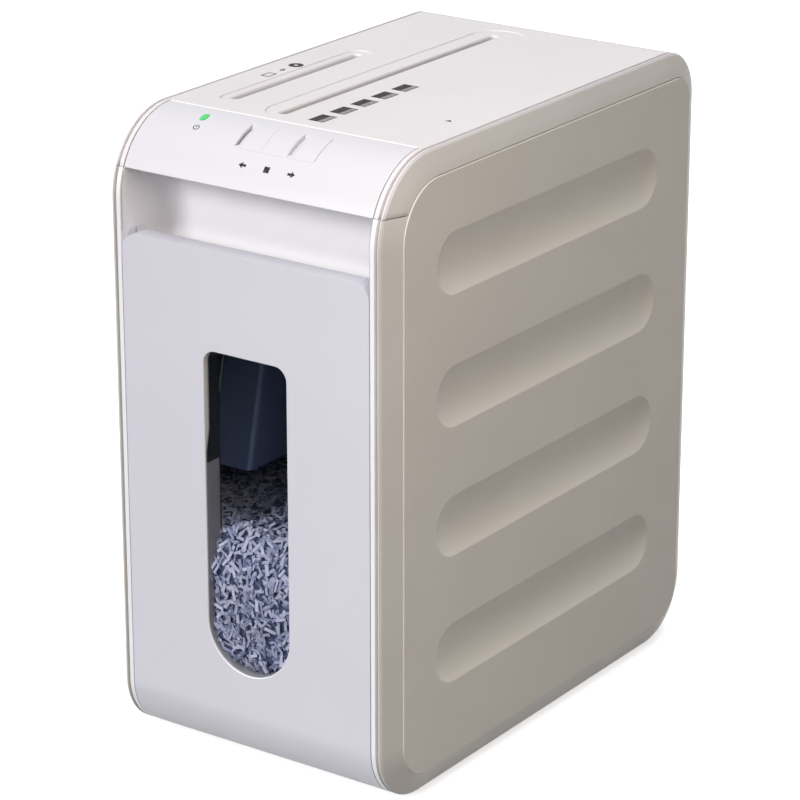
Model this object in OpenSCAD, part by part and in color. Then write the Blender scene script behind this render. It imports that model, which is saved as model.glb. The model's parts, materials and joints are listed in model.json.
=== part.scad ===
// Deskside paper shredder: a pull-out bin below a cutting head, between two
// bulged side panels. Millimetres, +Z up, drawer towards -Y, paper enters from
// above. The origin is on the floor, under the middle of the body.

/* [Body] */
// Overall width across the two side panels
body_w = 208; // [200:1:240]
// Overall depth, front to back
body_d = 345; // [340:1:380]
// Height of the shell, without the feet
body_h = 400; // [395:1:430]
// Height of the rubber feet under the shell
foot_h = 4; // [3:0.5:8]
// Radius of the upper front edge, seen from the side
front_top_r = 50; // [46:1:54]
// Radius of the upper rear edge
rear_top_r = 31; // [24:1:34]
// Radius of the lower front edge
front_bottom_r = 39; // [32:1:44]
// Radius of the lower rear edge
rear_bottom_r = 40; // [30:1:46]
// Wall of the moulded covers
skin_t = 3; // [2:0.1:3.4]

/* [Sides] */
// Thickness of the side frames, seen as a band along every edge
frame_t = 4; // [3:0.5:5]
// Shadow gap between a side frame and its side panel
shadow_gap = 1; // [0.6:0.1:1.6]
// Depth of that shadow gap
shadow_depth = 3; // [2:0.5:5]
// Straight rim of a side panel
rim_w = 3; // [2:0.5:4]
// How far the flat middle of a side panel stands out from its rim
side_bulge = 5.4; // [4:0.2:7]
// Width of the sloping border round the flat middle
border_w = 15; // [12:1:18]
// Height of the head's cover above its seam with the cabinet
seam_h = 31; // [29:1:33]
// Gap at the seam between head and cabinet
seam_gap = 0.6; // [0.4:0.1:1]

/* [Side grooves] */
// Number of scooped grooves on each side
groove_n = 4; // [2:1:4]
// Length of a groove, end to end
groove_len = 238; // [180:1:250]
// Height of a groove
groove_h = 38.4; // [30:0.2:40]
// Depth of a groove at its middle
groove_deep = 5.6; // [3:0.2:5.8]
// Distance from one groove to the next
groove_pitch = 82; // [60:1:84]
// Distance of the top groove's middle below the shell's top
groove_top_h = 70.6; // [66:0.2:78]
// How far the grooves' middle lies in front of the body's middle
groove_fore = 5.5; // [0:0.5:12]

/* [Drawer] */
// Height of the head above the drawer front's top edge
head_h = 70; // [66:1:80]
// Depth of the drawer front moulding
drawer_t = 13; // [11:0.5:15]
// Radius of the drawer front's upper corners
drawer_corner_r = 10; // [4:1:16]
// Gap between the drawer front and what surrounds it
drawer_gap = 0.6; // [0.4:0.1:1]
// Width of the window in the drawer front
window_w = 62; // [40:1:80]
// Distance of the window's top below the drawer front's top edge
window_top_h = 61.5; // [58:0.5:90]
// Height of the window's bottom above the shell's bottom
window_bottom_h = 64; // [50:1:90]
// Radius of the window's upper corners
window_r = 9; // [4:1:16]
// How far the window pane lies behind the drawer's face
pane_inset = 7; // [5:0.5:8]
// Thickness of the window pane
pane_t = 2; // [1.5:0.1:3]
// Room between the bin's rim and the tray of the head
bin_room = 7; // [6:1:12]
// Wall of the bin
bin_wall = 2.2; // [1.6:0.1:3]
// Gap between the bin and the side frames
bin_side_gap = 4.6; // [3:0.2:6]
// Room between the bin and the rear face of the body
bin_rear_room = 24; // [20:1:42]
// Room between the shredded paper and the scrap box above it
heap_room = 18; // [12:1:100]
// Clearance round the shredded paper
heap_gap = 0.4; // [0.3:0.1:1]
// Running gap between the bin and its rails
rail_gap = 0.3; // [0.2:0.1:0.6]

/* [Hand recess] */
// Radius of the curved trough behind the drawer's top edge
trough_r = 24; // [18:1:26]
// Wall of the trough
trough_t = 2.5; // [2:0.1:3]

/* [Disc scrap box] */
// Width of the scrap box
scrap_w = 44; // [36:1:46]
// Length of the scrap box, front to back
scrap_len = 150; // [120:1:170]
// Height of the scrap box
scrap_h = 96; // [60:1:98]
// Wall of the scrap box
scrap_wall = 1.6; // [1.2:0.1:2.4]

/* [Paper entry] */
// Distance of the paper slot's front end from the body's front
slot_front = 64.5; // [62:0.5:68]
// Distance of the paper slot's rear end from the body's rear
slot_back = 52.5; // [51:0.5:56]
// Width of the paper slot
slot_w = 5.2; // [4.6:0.1:7]
// How far the oval dish reaches past the paper slot, both ends together
dish_over = 21; // [17:1:28]
// Width of the oval dish round the paper slot
dish_w = 36; // [30:1:40]
// How far the dish lies below the top
dish_deep = 1.4; // [0.6:0.1:2]
// Length of the disc slot
disc_len = 129; // [124:1:132]
// Width of the disc slot
disc_w = 5.6; // [4.8:0.1:7]
// How far the disc slot's oval dish reaches past it, both ends together
disc_dish_over = 14; // [10:1:18]
// Width of the disc slot's oval dish
disc_dish_w = 17; // [15:1:20]
// Distance of the disc slot from the paper slot
disc_off = 44; // [41:1:47]
// How far the disc slot's front end lies behind the paper slot's
disc_back = 10.5; // [8:0.5:14]
// Wall of the entry guides
guide_t = 2; // [1.6:0.1:2.6]

/* [Cutters] */
// Distance between neighbouring cutter shafts
cutter_pitch = 30; // [29.5:0.1:30.5]
// Radius of the cutter discs
cutter_r = 17; // [16:0.1:17.4]
// Radius of the spacers between the discs
spacer_r = 11; // [9:0.2:12]
// Radius of the cutter shafts
shaft_r = 5; // [4:0.1:6]
// Distance from one cutter disc to the next
disc_step = 8; // [8:0.5:10]
// Side clearance between interleaved discs
disc_gap = 0.2; // [0.15:0.05:0.4]
// Depth of the cutter shafts below the shell's top
cutter_h = 82; // [80:1:83]
// Room between a chassis plate and the paper slot's end
chassis_room = 4; // [3.5:0.5:6]
// Thickness of the chassis plates
plate_t = 3; // [2:0.5:4]
// Fit of a shaft in its bush
run_gap = 0.05; // [0.02:0.01:0.09]

/* [Drive] */
// Pressure angle of every gear
pressure_angle = 25; // [22:1:26]
// Play between meshing teeth
backlash = 0.22; // [0.15:0.01:0.4]
// Teeth of the cutter shafts' matching gears
sync_teeth = 20; // [16:1:24]
// Module of the motor stage
motor_module = 1; // [0.9:0.02:1.1]
// Teeth of the motor pinion
pinion_teeth = 12; // [12:1:14]
// Teeth of the large wheel of the reduction gear
reduction_teeth = 48; // [44:1:50]
// Module of the output stage
output_module = 1.3; // [1.2:0.02:1.36]
// Teeth of the small wheel of the reduction gear
small_teeth = 14; // [12:1:15]
// Teeth of the output gear
output_teeth = 42; // [38:1:43]
// Width of every gear
gear_w = 8; // [6:0.5:9]
// Room between the motor and the cutters beside it
motor_gap = 10; // [9:0.5:11]
// Radius of the motor can
motor_r = 29; // [27:0.5:31]
// Length of the motor can
motor_len = 88; // [70:1:100]
// Radius of the motor's shaft
motor_shaft_r = 3; // [2.5:0.1:4]

/* [Keys] */
// Width of a key
key_w = 18.8; // [15:0.2:20]
// Length of a key, up the curve of the strip
key_len = 21.6; // [18:0.2:23]
// Gap between neighbouring keys and round them
key_gap = 0.4; // [0.3:0.05:0.6]
// Travel of a key
key_travel = 1.5; // [1:0.1:2]
// How far the keys stand above the strip
key_proud = 0.4; // [0.2:0.1:0.8]
// Distance of the middle key from the body's middle, to the right
key_off = 9; // [0:1:14]
// Slope of the keys' face, up from the vertical front
key_angle = 64.5; // [60:0.5:68]
// Distance of the power light from the body's middle, to the left
led_off = 54; // [44:1:64]
// Slope of the power light
led_angle = 73.6; // [68:0.2:76]

/* [Hidden] */
$fn = 64;
EPS = 0.01;

// Levels and places that follow from the sizes above
half_w = body_w / 2;
half_d = body_d / 2;
base_z = foot_h;
top_z = foot_h + body_h;
seam_z = top_z - seam_h;
drawer_top_z = top_z - head_h;
rim_x = half_w - side_bulge;
rim_in_x = rim_x - rim_w;
band_x = rim_in_x - shadow_gap;
bay_x = band_x - frame_t;
core_x = bay_x - drawer_gap;
strip_y = -half_d + front_top_r;
strip_z = top_z - front_top_r;

function inset_r(r, inset) = max(r - inset, 1);

// What a round corner takes away: r is its radius, [sy, sz] points to its tip
module corner_cut(tip, sy, sz, r) {
    centre = [tip[0] - sy * r, tip[1] - sz * r];
    difference() {
        translate(centre + (r + 1) * [min(sy, 0), min(sz, 0)]) square(r + 1);
        translate(centre) circle(r);
    }
}

// Side outline of the body in the Y-Z plane, moved inwards by inset
module outline(inset = 0) {
    y = half_d - inset;
    z0 = base_z + inset;
    z1 = top_z - inset;
    difference() {
        translate([-y, z0]) square([2 * y, z1 - z0]);
        corner_cut([-y, z1], -1, 1, inset_r(front_top_r, inset));
        corner_cut([y, z1], 1, 1, inset_r(rear_top_r, inset));
        corner_cut([y, z0], 1, -1, inset_r(rear_bottom_r, inset));
        corner_cut([-y, z0], -1, -1, inset_r(front_bottom_r, inset));
    }
}

module skin(thick = skin_t) {
    difference() {
        outline(0);
        outline(thick);
    }
}

// Carries a Y-Z shape along X, from x0 to x1
module along_x(x0, x1) {
    translate([x0, 0, 0]) rotate([90, 0, 90]) linear_extrude(x1 - x0) children();
}

// Carries an X-Z shape along Y, from y0 to y1
module along_y(y0, y1) {
    translate([0, y1, 0]) rotate([90, 0, 0]) linear_extrude(y1 - y0) children();
}

// Box between two corners
module block(lo, hi) {
    translate(lo) cube(hi - lo);
}

// Round bar along Y, from y0 to y1
module rod_y(x, z, r, y0, y1) {
    translate([x, y1, z]) rotate([90, 0, 0]) cylinder(r = r, h = y1 - y0);
}

// Half of the Y-Z plane above or below a level
module above(z) { translate([-body_d, z]) square([2 * body_d, body_h]); }
module below(z) { translate([-body_d, z - 2 * body_h]) square([2 * body_d, 2 * body_h]); }

module both_sides() {
    children();
    mirror([1, 0, 0]) children();
}

// Oval with round ends, its length along Y
module oval(length, width) {
    square([width, length - width], center = true);
    for (s = [-1, 1]) translate([0, s * (length - width) / 2]) circle(width / 2);
}

// ---------------------------------------------------------------- side panels

// Bulged plate that fills one side, from the frame out to the flat middle
facet_t = 0.1;
edge_break = 1;
module side_plate() {
    along_x(band_x, rim_in_x + EPS) outline(shadow_depth);
    along_x(rim_in_x, rim_x - edge_break + facet_t) outline(0);
    hull($fn = 40) {
        along_x(rim_x - edge_break, rim_x - edge_break + facet_t) outline(0);
        along_x(rim_x - facet_t, rim_x) outline(edge_break);
        along_x(half_w - facet_t, half_w) outline(border_w);
    }
}

// A round bar sunk into the flat middle leaves one scooped groove
groove_r = (pow(groove_h / 2, 2) + pow(groove_deep, 2)) / (2 * groove_deep);
groove_half = (groove_len - groove_h) / 2;
function groove_z(i) = top_z - groove_top_h - i * groove_pitch;
module grooves() {
    for (i = [0 : groove_n - 1])
        translate([half_w + groove_r - groove_deep, -groove_fore, groove_z(i)]) {
            rotate([90, 0, 0]) cylinder(r = groove_r, h = 2 * groove_half, center = true, $fn = 96);
            for (s = [-1, 1]) translate([0, s * groove_half, 0]) sphere(groove_r, $fn = 96);
        }
}

// Pockets behind the flat strips between the grooves keep the wall even
panel_wall = 2.6;
pocket_edge = border_w + 6;
module panel_pockets() {
    land = groove_pitch - groove_h - 2 * panel_wall;
    for (i = [0 : groove_n]) {
        mid = groove_z(i - 0.5);
        z0 = max(mid - land / 2, base_z + pocket_edge);
        z1 = min(mid + land / 2, seam_z - pocket_edge);
        if (z1 > z0 + 4)
            block([band_x - 1, -half_d + 2 * pocket_edge, z0],
                  [half_w - panel_wall, half_d - 2 * pocket_edge, z1]);
    }
}

module side_panel() {
    color([0.86, 0.85, 0.83])
        difference() {
            intersection() {
                side_plate();
                along_x(band_x - 1, half_w + 1) {
                    below(seam_z - seam_gap / 2);
                    outline(border_w);
                }
            }
            grooves();
            panel_pockets();
        }
}
module right_side_panel() { side_panel(); }
module left_side_panel() { mirror([1, 0, 0]) side_panel(); }

// ---------------------------------------------------------------- side frames

// A fast fit, and the free fit of a screw in the piece that it clamps
fast_gap = 0.02;
free_gap = 0.3;
screw_r = 1.5;
head_r = 3;
head_t = 1.5;
boss_w = 8;
boss_len = 9;
screw_len = 9;
tray_t = 3;
tray_drop = 50;
tray_z = drawer_top_z - tray_drop;
ledge_w = 4;
// The tray and its ledges end just before the rear screw bosses
inner_end_y = half_d - skin_t - boss_len - 1;
screw_in = 14;
rear_screw_zs = [base_z + rear_bottom_r + screw_in, (base_z + rear_bottom_r + tray_z) / 2, tray_z - screw_in];
base_screw_y = half_d - rear_bottom_r - 2 * screw_in;
base_screw_ys = [-base_screw_y, base_screw_y];
boss_x = bay_x - boss_w / 2;

// Clearance hole with a counterbore, up +Z from 1 below the face of a wall
module screw_hole(wall) {
    cylinder(r = screw_r + free_gap, h = wall + 2);
    cylinder(r = head_r + free_gap, h = 1 + head_t);
}
// Screw with its head at the origin and its shank up +Z
module screw(length) {
    cylinder(r = head_r, h = head_t);
    cylinder(r = screw_r, h = length);
}

module side_frame() {
    web_inset = 12;
    web_t = 2;
    color([0.92, 0.92, 0.92])
        difference() {
            union() {
                along_x(bay_x, band_x)
                    intersection() {
                        outline(0);
                        below(seam_z - seam_gap / 2);
                    }
                // Ledge that carries the head's tray
                block([bay_x - ledge_w, -half_d + front_top_r, tray_z - ledge_w],
                      [bay_x + EPS, inner_end_y, tray_z]);
                for (z = rear_screw_zs)
                    block([bay_x - boss_w, half_d - skin_t - boss_len, z - boss_w / 2],
                          [bay_x + EPS, half_d - skin_t, z + boss_w / 2]);
                for (y = base_screw_ys)
                    block([bay_x - boss_w, y - boss_w / 2, base_z + skin_t],
                          [bay_x + EPS, y + boss_w / 2, base_z + skin_t + boss_w]);
            }
            along_x(band_x - web_t, band_x + 1)
                intersection() {
                    outline(web_inset);
                    below(seam_z - web_inset);
                }
            for (z = rear_screw_zs)
                rod_y(boss_x, z, screw_r + fast_gap, inner_end_y + 2, half_d);
            for (y = base_screw_ys)
                translate([boss_x, y, base_z]) cylinder(r = screw_r + fast_gap, h = skin_t + boss_w - 1);
        }
}
module right_side_frame() { side_frame(); }
module left_side_frame() { mirror([1, 0, 0]) side_frame(); }

// ---------------------------------------------------------------- top cover

// Three cutter shafts and the motor beside them stand in the middle of the head
drive_w = 2 * (cutter_pitch + cutter_r) + motor_gap + 2 * motor_r;
disc_cut_x = -drive_w / 2 + cutter_r;
left_x = disc_cut_x + cutter_pitch;
right_x = left_x + cutter_pitch;
motor_x = drive_w / 2 - motor_r;
slot_x = right_x - cutter_pitch / 2;
slot_y0 = -half_d + slot_front;
slot_y1 = half_d - slot_back;
slot_len = slot_y1 - slot_y0;
slot_rear = (slot_y0 + slot_y1) / 2;
disc_x = slot_x - disc_off;
disc_y = slot_y0 + disc_back + disc_len / 2;
dish_len = slot_len + dish_over;
disc_dish_len = disc_len + disc_dish_over;
// The paper slot lies off the middle of its dish
dish_x = slot_x + 3.5;
dish_y = slot_rear + 2.5;
module entry_ovals(grow = 0) {
    translate([dish_x, dish_y]) oval(dish_len + 2 * grow, dish_w + 2 * grow);
    translate([disc_x, disc_y]) oval(disc_dish_len + 2 * grow, disc_dish_w + 2 * grow);
}

module top_cover() {
    color([0.93, 0.92, 0.91])
        difference() {
            union() {
                along_x(-band_x, band_x)
                    intersection() {
                        skin();
                        above(seam_z + seam_gap / 2);
                    }
                both_sides() {
                    along_x(bay_x, band_x + EPS)
                        difference() {
                            intersection() {
                                outline(0);
                                above(seam_z + seam_gap / 2);
                            }
                            outline(border_w - seam_gap);
                        }
                    intersection() {
                        side_plate();
                        along_x(band_x - 1, half_w + 1)
                            difference() {
                                above(seam_z + seam_gap / 2);
                                outline(border_w - seam_gap);
                            }
                    }
                }
            }
            // The control strip fills the front between the side bands
            block([-bay_x, -half_d - 1, base_z], [bay_x, strip_y, top_z + 1]);
            translate([0, 0, top_z - skin_t - 1]) linear_extrude(skin_t + 2) entry_ovals();
        }
}

// ---------------------------------------------------------------- control strip

// Frame at the strip's curve whose +Z points out of the face at a slope
module on_strip(angle, x = 0) {
    translate([x, strip_y, strip_z]) rotate([90 - angle, 0, 0]) children();
}
key_pitch = key_w + key_gap;
key_row_w = 3 * key_w + 4 * key_gap;
led_len = 7;
led_w = 4;
flange_t = 2.5;
board_drop = 19;
board_r = front_top_r - board_drop;
post_x = key_row_w / 2 + 5;
post_r = 2.5;
recess_back_y = -half_d + drawer_t + drawer_gap + 1.9 + trough_r;

module led_shape(grow = 0) {
    oval(led_len + 2 * grow, led_w + 2 * grow);
}

module control_strip() {
    color([0.97, 0.97, 0.98])
        difference() {
            union() {
                along_x(-core_x, core_x)
                    intersection() {
                        skin();
                        above(seam_z);
                        translate([-body_d, 0]) square([body_d + strip_y - seam_gap, 2 * body_h]);
                    }
                // Flange that closes the strip above the hand recess
                block([-core_x, -half_d + 1, seam_z], [core_x, recess_back_y + trough_t, seam_z + flange_t]);
                // Posts that carry the key board
                for (s = [-1, 1])
                    on_strip(key_angle, key_off + s * post_x)
                        translate([0, 0, board_r])
                            cylinder(r = post_r, h = front_top_r - skin_t - board_r + 0.5);
            }
            on_strip(key_angle, key_off)
                block([-key_row_w / 2, -key_len / 2 - key_gap, front_top_r - 3 * skin_t],
                      [key_row_w / 2, key_len / 2 + key_gap, front_top_r + 3]);
            on_strip(led_angle, -led_off)
                translate([0, 0, front_top_r - 2 * skin_t]) linear_extrude(3 * skin_t) led_shape(run_gap);
        }
}

module led_lens() {
    color([0.25, 0.9, 0.5])
        intersection() {
            on_strip(led_angle, -led_off)
                translate([0, 0, front_top_r - skin_t - 2]) linear_extrude(skin_t + 4) led_shape();
            along_x(-core_x, core_x) outline(-0.3);
        }
}

// ---------------------------------------------------------------- keys

stem_r = 2;
stem_len = 5;
key_body = 6;
stem_end = front_top_r - key_body - stem_len;
module key(place) {
    color([0.95, 0.95, 0.96])
        on_strip(key_angle, key_off + place * key_pitch) {
            intersection() {
                block([-key_w / 2, -key_len / 2, front_top_r - key_body],
                      [key_w / 2, key_len / 2, front_top_r + 3]);
                rotate([0, 90, 0])
                    cylinder(r = front_top_r + key_proud, h = 2 * key_w, center = true, $fn = 128);
            }
            translate([0, 0, stem_end]) cylinder(r = stem_r, h = stem_len + 0.5);
        }
}
module reverse_key() { key(-1); }
module stop_key() { key(0); }
module forward_key() { key(1); }

board_t = 1.6;
board_fore = 8;
board_aft = 13;
switch_w = 6;
module key_board() {
    color([0.1, 0.35, 0.2])
        on_strip(key_angle, key_off)
            block([-post_x - 4, -board_fore, board_r - board_t], [post_x + 4, board_aft, board_r]);
}
module key_switches() {
    color([0.15, 0.15, 0.16])
        for (i = [-1 : 1])
            on_strip(key_angle, key_off + i * key_pitch)
                translate([0, 0, board_r]) {
                    height = stem_end - key_travel - 0.3 - board_r;
                    translate([-switch_w / 2, -switch_w / 2, 0]) cube([switch_w, switch_w, height - 1]);
                    cylinder(r = 1.6, h = height);
                }
}

// ---------------------------------------------------------------- hand recess

trough_floor_y = recess_back_y - trough_r;
trough_z = drawer_top_z;
cheek_t = 3;
module hand_recess() {
    color([0.88, 0.87, 0.9]) {
        along_x(-bay_x, bay_x) {
            // Curved floor
            intersection() {
                difference() {
                    translate([trough_floor_y, trough_z]) circle(trough_r + trough_t, $fn = 128);
                    translate([trough_floor_y, trough_z]) circle(trough_r, $fn = 128);
                }
                translate([trough_floor_y, trough_z - 2 * trough_r]) square(2 * trough_r);
            }
            // Back wall, down to the tray
            translate([recess_back_y, tray_z + tray_t]) square([trough_t, seam_z - tray_z - tray_t]);
        }
        // Cheeks
        both_sides()
            block([bay_x - cheek_t, trough_floor_y, trough_z - trough_r - trough_t],
                  [bay_x, recess_back_y + EPS, seam_z]);
    }
}

// ---------------------------------------------------------------- rear and base

vent_n = 9;
vent_w = 3.5;
vent_len = 70;
vent_pitch = 9;
vent_z0 = tray_z + 8;
gland_in = 35.6;
gland_x = bay_x - gland_in;
gland_z = base_z + 90;
gland_r = 7;
gland_pocket_r = 13;
gland_pocket = 9;
gland_bore_r = 3.6;
gland_y = half_d - gland_pocket;

module rear_panel() {
    color([0.9, 0.9, 0.9])
        difference() {
            union() {
                along_x(-bay_x, bay_x)
                    intersection() {
                        skin();
                        below(seam_z - seam_gap / 2);
                        translate([half_d - rear_bottom_r, 0]) square([body_d, 2 * body_h]);
                    }
                // Cup that holds the cord gland behind the panel's face
                rod_y(gland_x, gland_z, gland_pocket_r + 2, gland_y - 2, half_d - skin_t / 2);
            }
            rod_y(gland_x, gland_z, gland_pocket_r, gland_y, half_d + 1);
            rod_y(gland_x, gland_z, gland_r, gland_y - 3, half_d + 1);
            for (i = [0 : vent_n - 1])
                block([-vent_len / 2, half_d - skin_t - 1, vent_z0 + i * vent_pitch],
                      [vent_len / 2, half_d + 1, vent_z0 + i * vent_pitch + vent_w]);
            for (s = [-1, 1], z = rear_screw_zs)
                translate([s * boss_x, half_d + 1, z]) rotate([90, 0, 0]) screw_hole(skin_t);
        }
}

// Bush for the mains cord, left empty
module cord_gland() {
    color([0.1, 0.1, 0.1])
        translate([gland_x, half_d - 1, gland_z]) rotate([90, 0, 0])
            difference() {
                union() {
                    cylinder(r = gland_r - 0.02, h = gland_pocket + 1);
                    translate([0, 0, gland_pocket - 4]) cylinder(r = gland_r + 3, h = 3);
                }
                translate([0, 0, -1]) cylinder(r = gland_bore_r, h = gland_pocket + 3);
            }
}

// Screws of one size hold the rear panel and the base plate to the side frames
module case_screws() {
    color([0.55, 0.55, 0.57]) {
        for (s = [-1, 1], z = rear_screw_zs)
            translate([s * boss_x, half_d, z]) rotate([90, 0, 0]) screw(screw_len);
        for (s = [-1, 1], y = base_screw_ys)
            translate([s * boss_x, y, base_z]) screw(screw_len);
    }
}

foot_r = 9;
foot_x = bay_x - foot_r - 5;
foot_y = half_d - rear_bottom_r - foot_r - 1;
module base_plate() {
    color([0.8, 0.8, 0.8])
        difference() {
            block([-bay_x, -half_d + front_bottom_r + drawer_gap, base_z],
                  [bay_x, half_d - rear_bottom_r, base_z + skin_t]);
            for (s = [-1, 1], y = base_screw_ys)
                translate([s * boss_x, y, base_z - 1]) screw_hole(skin_t);
            for (s = [-1, 1], t = [-1, 1])
                translate([s * foot_x, t * foot_y, base_z - 1])
                    cylinder(r = foot_r / 3 + fast_gap, h = skin_t + 2);
        }
}

module rubber_feet() {
    color([0.12, 0.12, 0.12])
        for (s = [-1, 1], t = [-1, 1])
            translate([s * foot_x, t * foot_y, 0]) {
                cylinder(r = foot_r, h = foot_h);
                cylinder(r = foot_r / 3, h = foot_h + skin_t + 1);
            }
}

// ---------------------------------------------------------------- drawer

bin_x = bay_x - bin_side_gap;
bin_y0 = -half_d + drawer_t;
bin_y1 = half_d - bin_rear_room;
bin_z0 = base_z + drawer_t;
bin_z1 = tray_z - bin_room;
window_top_z = drawer_top_z - window_top_h;
window_bottom_z = base_z + window_bottom_h;
rail_h = bin_z0 - base_z - skin_t - rail_gap;

// Window: square shoulders with small corners above, a half round below
module window_shape(grow = 0) {
    r = window_w / 2 + grow;
    c = window_r + grow;
    z0 = window_bottom_z + window_w / 2;
    z1 = window_top_z + grow;
    translate([0, z0]) circle(r);
    translate([-r, z0]) square([2 * r, z1 - c - z0]);
    translate([-r + c, z0]) square([2 * (r - c), z1 - z0]);
    for (s = [-1, 1]) translate([s * (r - c), z1 - c]) circle(c);
}

module drawer_outline() {
    intersection() {
        difference() {
            outline(0);
            outline(drawer_t);
        }
        translate([-half_d - 1, 0]) square([front_bottom_r + 1, drawer_top_z]);
    }
}

collar_t = 3;
module drawer_front() {
    wall = skin_t;
    corner_x = core_x - drawer_corner_r;
    corner_z = drawer_top_z - drawer_corner_r;
    color([0.85, 0.85, 0.88])
        difference() {
            intersection() {
                along_x(-core_x, core_x) drawer_outline();
                along_y(-half_d - 1, half_d) {
                    translate([-core_x, 0]) square([2 * core_x, corner_z]);
                    translate([-corner_x, 0]) square([2 * corner_x, drawer_top_z]);
                    for (s = [-1, 1]) translate([s * corner_x, corner_z]) circle(drawer_corner_r);
                }
            }
            // Hollow back, with a collar left round the window
            difference() {
                along_x(-core_x + wall, core_x - wall)
                    intersection() {
                        difference() {
                            outline(wall);
                            outline(drawer_t + 1);
                        }
                        translate([-half_d, 0])
                            square([front_bottom_r - wall, drawer_top_z - wall - drawer_corner_r / 2]);
                    }
                along_y(-half_d - 1, -half_d + drawer_t + 1) window_shape(collar_t);
                for (p = drawer_screw_places) rod_y(p[0], p[1], boss_w / 2, -half_d, bin_y0 + 1);
            }
            along_y(-half_d - 1, -half_d + drawer_t + 1) window_shape();
            // Seat of the pane, open to the bin
            along_y(-half_d + pane_inset, -half_d + drawer_t + 1) window_shape(collar_t / 2);
            for (p = drawer_screw_places)
                rod_y(p[0], p[1], screw_r + fast_gap, -half_d + wall + 1, bin_y0 + 1);
        }
}

drawer_screw_places =
    [for (s = [-1, 1], z = [window_bottom_z + 10, window_top_z - 25]) [s * (core_x - 20), z]];

module window_pane() {
    color([0.35, 0.38, 0.42, 0.4])
        along_y(-half_d + pane_inset, -half_d + pane_inset + pane_t) window_shape(collar_t / 2 - 0.1);
}

module bin_section(inset) {
    intersection() {
        outline(drawer_t + inset);
        translate([-half_d, 0]) square([half_d + bin_y1 - inset, 2 * body_h]);
    }
}

rim_lip = 2.5;
module bin_tub() {
    color([0.13, 0.14, 0.17])
        difference() {
            union() {
                along_x(-bin_x, bin_x)
                    intersection() {
                        bin_section(0);
                        below(bin_z1);
                    }
                // Rolled rim along both sides
                both_sides()
                    block([bin_x - EPS, bin_y0 + 4, bin_z1 - 6], [bin_x + rim_lip, bin_y1, bin_z1]);
            }
            along_x(-bin_x + bin_wall, bin_x - bin_wall)
                bin_section(bin_wall);
            along_y(bin_y0 - 1, bin_y0 + bin_wall + 1) window_shape(-0.5);
            for (p = drawer_screw_places)
                translate([p[0], bin_y0 + bin_wall + 1, p[1]]) rotate([90, 0, 0]) screw_hole(bin_wall);
        }
}

module drawer_screws() {
    color([0.55, 0.55, 0.57])
        for (p = drawer_screw_places)
            translate([p[0], bin_y0 + bin_wall, p[1]]) rotate([90, 0, 0])
                screw(bin_wall + drawer_t - skin_t - 2);
}

// Heap with a low mound in its middle, below the scrap box
scrap_notch = 4;
mound_h = 12;
heap_z1 = bin_z1 - scrap_notch - scrap_h - heap_room;
module heap_section() {
    z = heap_z1 - mound_h;
    y = half_d;
    intersection() {
        bin_section(bin_wall + heap_gap);
        polygon([[-y, base_z], [-y, z], [-0.75 * y, z], [-0.45 * y, z + 0.7 * mound_h], [-0.05 * y, z + mound_h],
                 [0.4 * y, z + 0.75 * mound_h], [0.72 * y, z], [y, z], [y, base_z]]);
    }
}

module shredded_paper() {
    color([0.9, 0.91, 0.95])
        along_x(-bin_x + bin_wall + heap_gap, bin_x - bin_wall - heap_gap) heap_section();
}

// Box for disc scraps, hung on the bin's left rim
scrap_x0 = -bin_x + bin_wall + 0.2;
scrap_y0 = disc_y - scrap_len / 2 - 2;
module disc_scrap_box() {
    rim_z = bin_z1 - scrap_notch;
    hook_z = bin_z1 + scrap_wall;
    x1 = scrap_x0 + scrap_w;
    y1 = scrap_y0 + scrap_len;
    color([0.12, 0.15, 0.24]) {
        difference() {
            block([scrap_x0, scrap_y0, rim_z - scrap_h], [x1, y1, hook_z]);
            block([scrap_x0 + scrap_wall, scrap_y0 + scrap_wall, rim_z - scrap_h + scrap_wall],
                  [x1 - scrap_wall, y1 - scrap_wall, hook_z + 1]);
            block([scrap_x0 + scrap_wall, scrap_y0 - 1, rim_z], [x1 + 1, y1 + 1, hook_z + 1]);
        }
        // Hook over the rim
        block([-bin_x - 1, scrap_y0, bin_z1], [scrap_x0 + 1, y1, hook_z]);
    }
}

module drawer_rails() {
    color([0.75, 0.75, 0.76])
        both_sides()
            block([bin_x - 30, -half_d + front_bottom_r + 2, base_z + skin_t],
                  [bin_x - 20, half_d - rear_bottom_r - 2, base_z + skin_t + rail_h]);
}

magnet_w = 12;
module bin_magnet() {
    color([0.5, 0.5, 0.52])
        block([-magnet_w / 2, bin_y1, bin_z1 - 16], [magnet_w / 2, bin_y1 + 3, bin_z1 - 4]);
}
module bin_switch() {
    color([0.1, 0.1, 0.1])
        block([-magnet_w / 2, bin_y1 + 3.6, bin_z1 - 14], [magnet_w / 2, bin_y1 + 9, tray_z]);
}

// ---------------------------------------------------------------- head tray

cutter_z = top_z - cutter_h;
front_plate_y = slot_y0 - chassis_room;
rear_plate_y = slot_y1 + chassis_room;
chassis_gap = rear_plate_y - front_plate_y;

board_w = 52;
board_len = 96;
board_in = 6.6;
board_x1 = bay_x - board_in;
board_x0 = board_x1 - board_w;
board_y0 = front_plate_y + 8;
board_y1 = board_y0 + board_len;
board_post = 5;
board_post_r = 3;
function board_posts() = [for (x = [board_x0 + 5, board_x1 - 5], y = [board_y0 + 5, board_y1 - 5]) [x, y]];

module head_tray() {
    color([0.78, 0.78, 0.8])
        difference() {
            union() {
                block([-bay_x, recess_back_y - 2, tray_z], [bay_x, inner_end_y, tray_z + tray_t]);
                for (p = board_posts())
                    translate([p[0], p[1], tray_z + 1])
                        cylinder(r = board_post_r, h = tray_t - 1 + board_post);
            }
            // Opening that the shreds fall through
            block([disc_cut_x - cutter_r - 1, front_plate_y + 2, tray_z - 1],
                  [right_x + cutter_r + 1, rear_plate_y - 2, tray_z + tray_t + 1]);
        }
}

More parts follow.
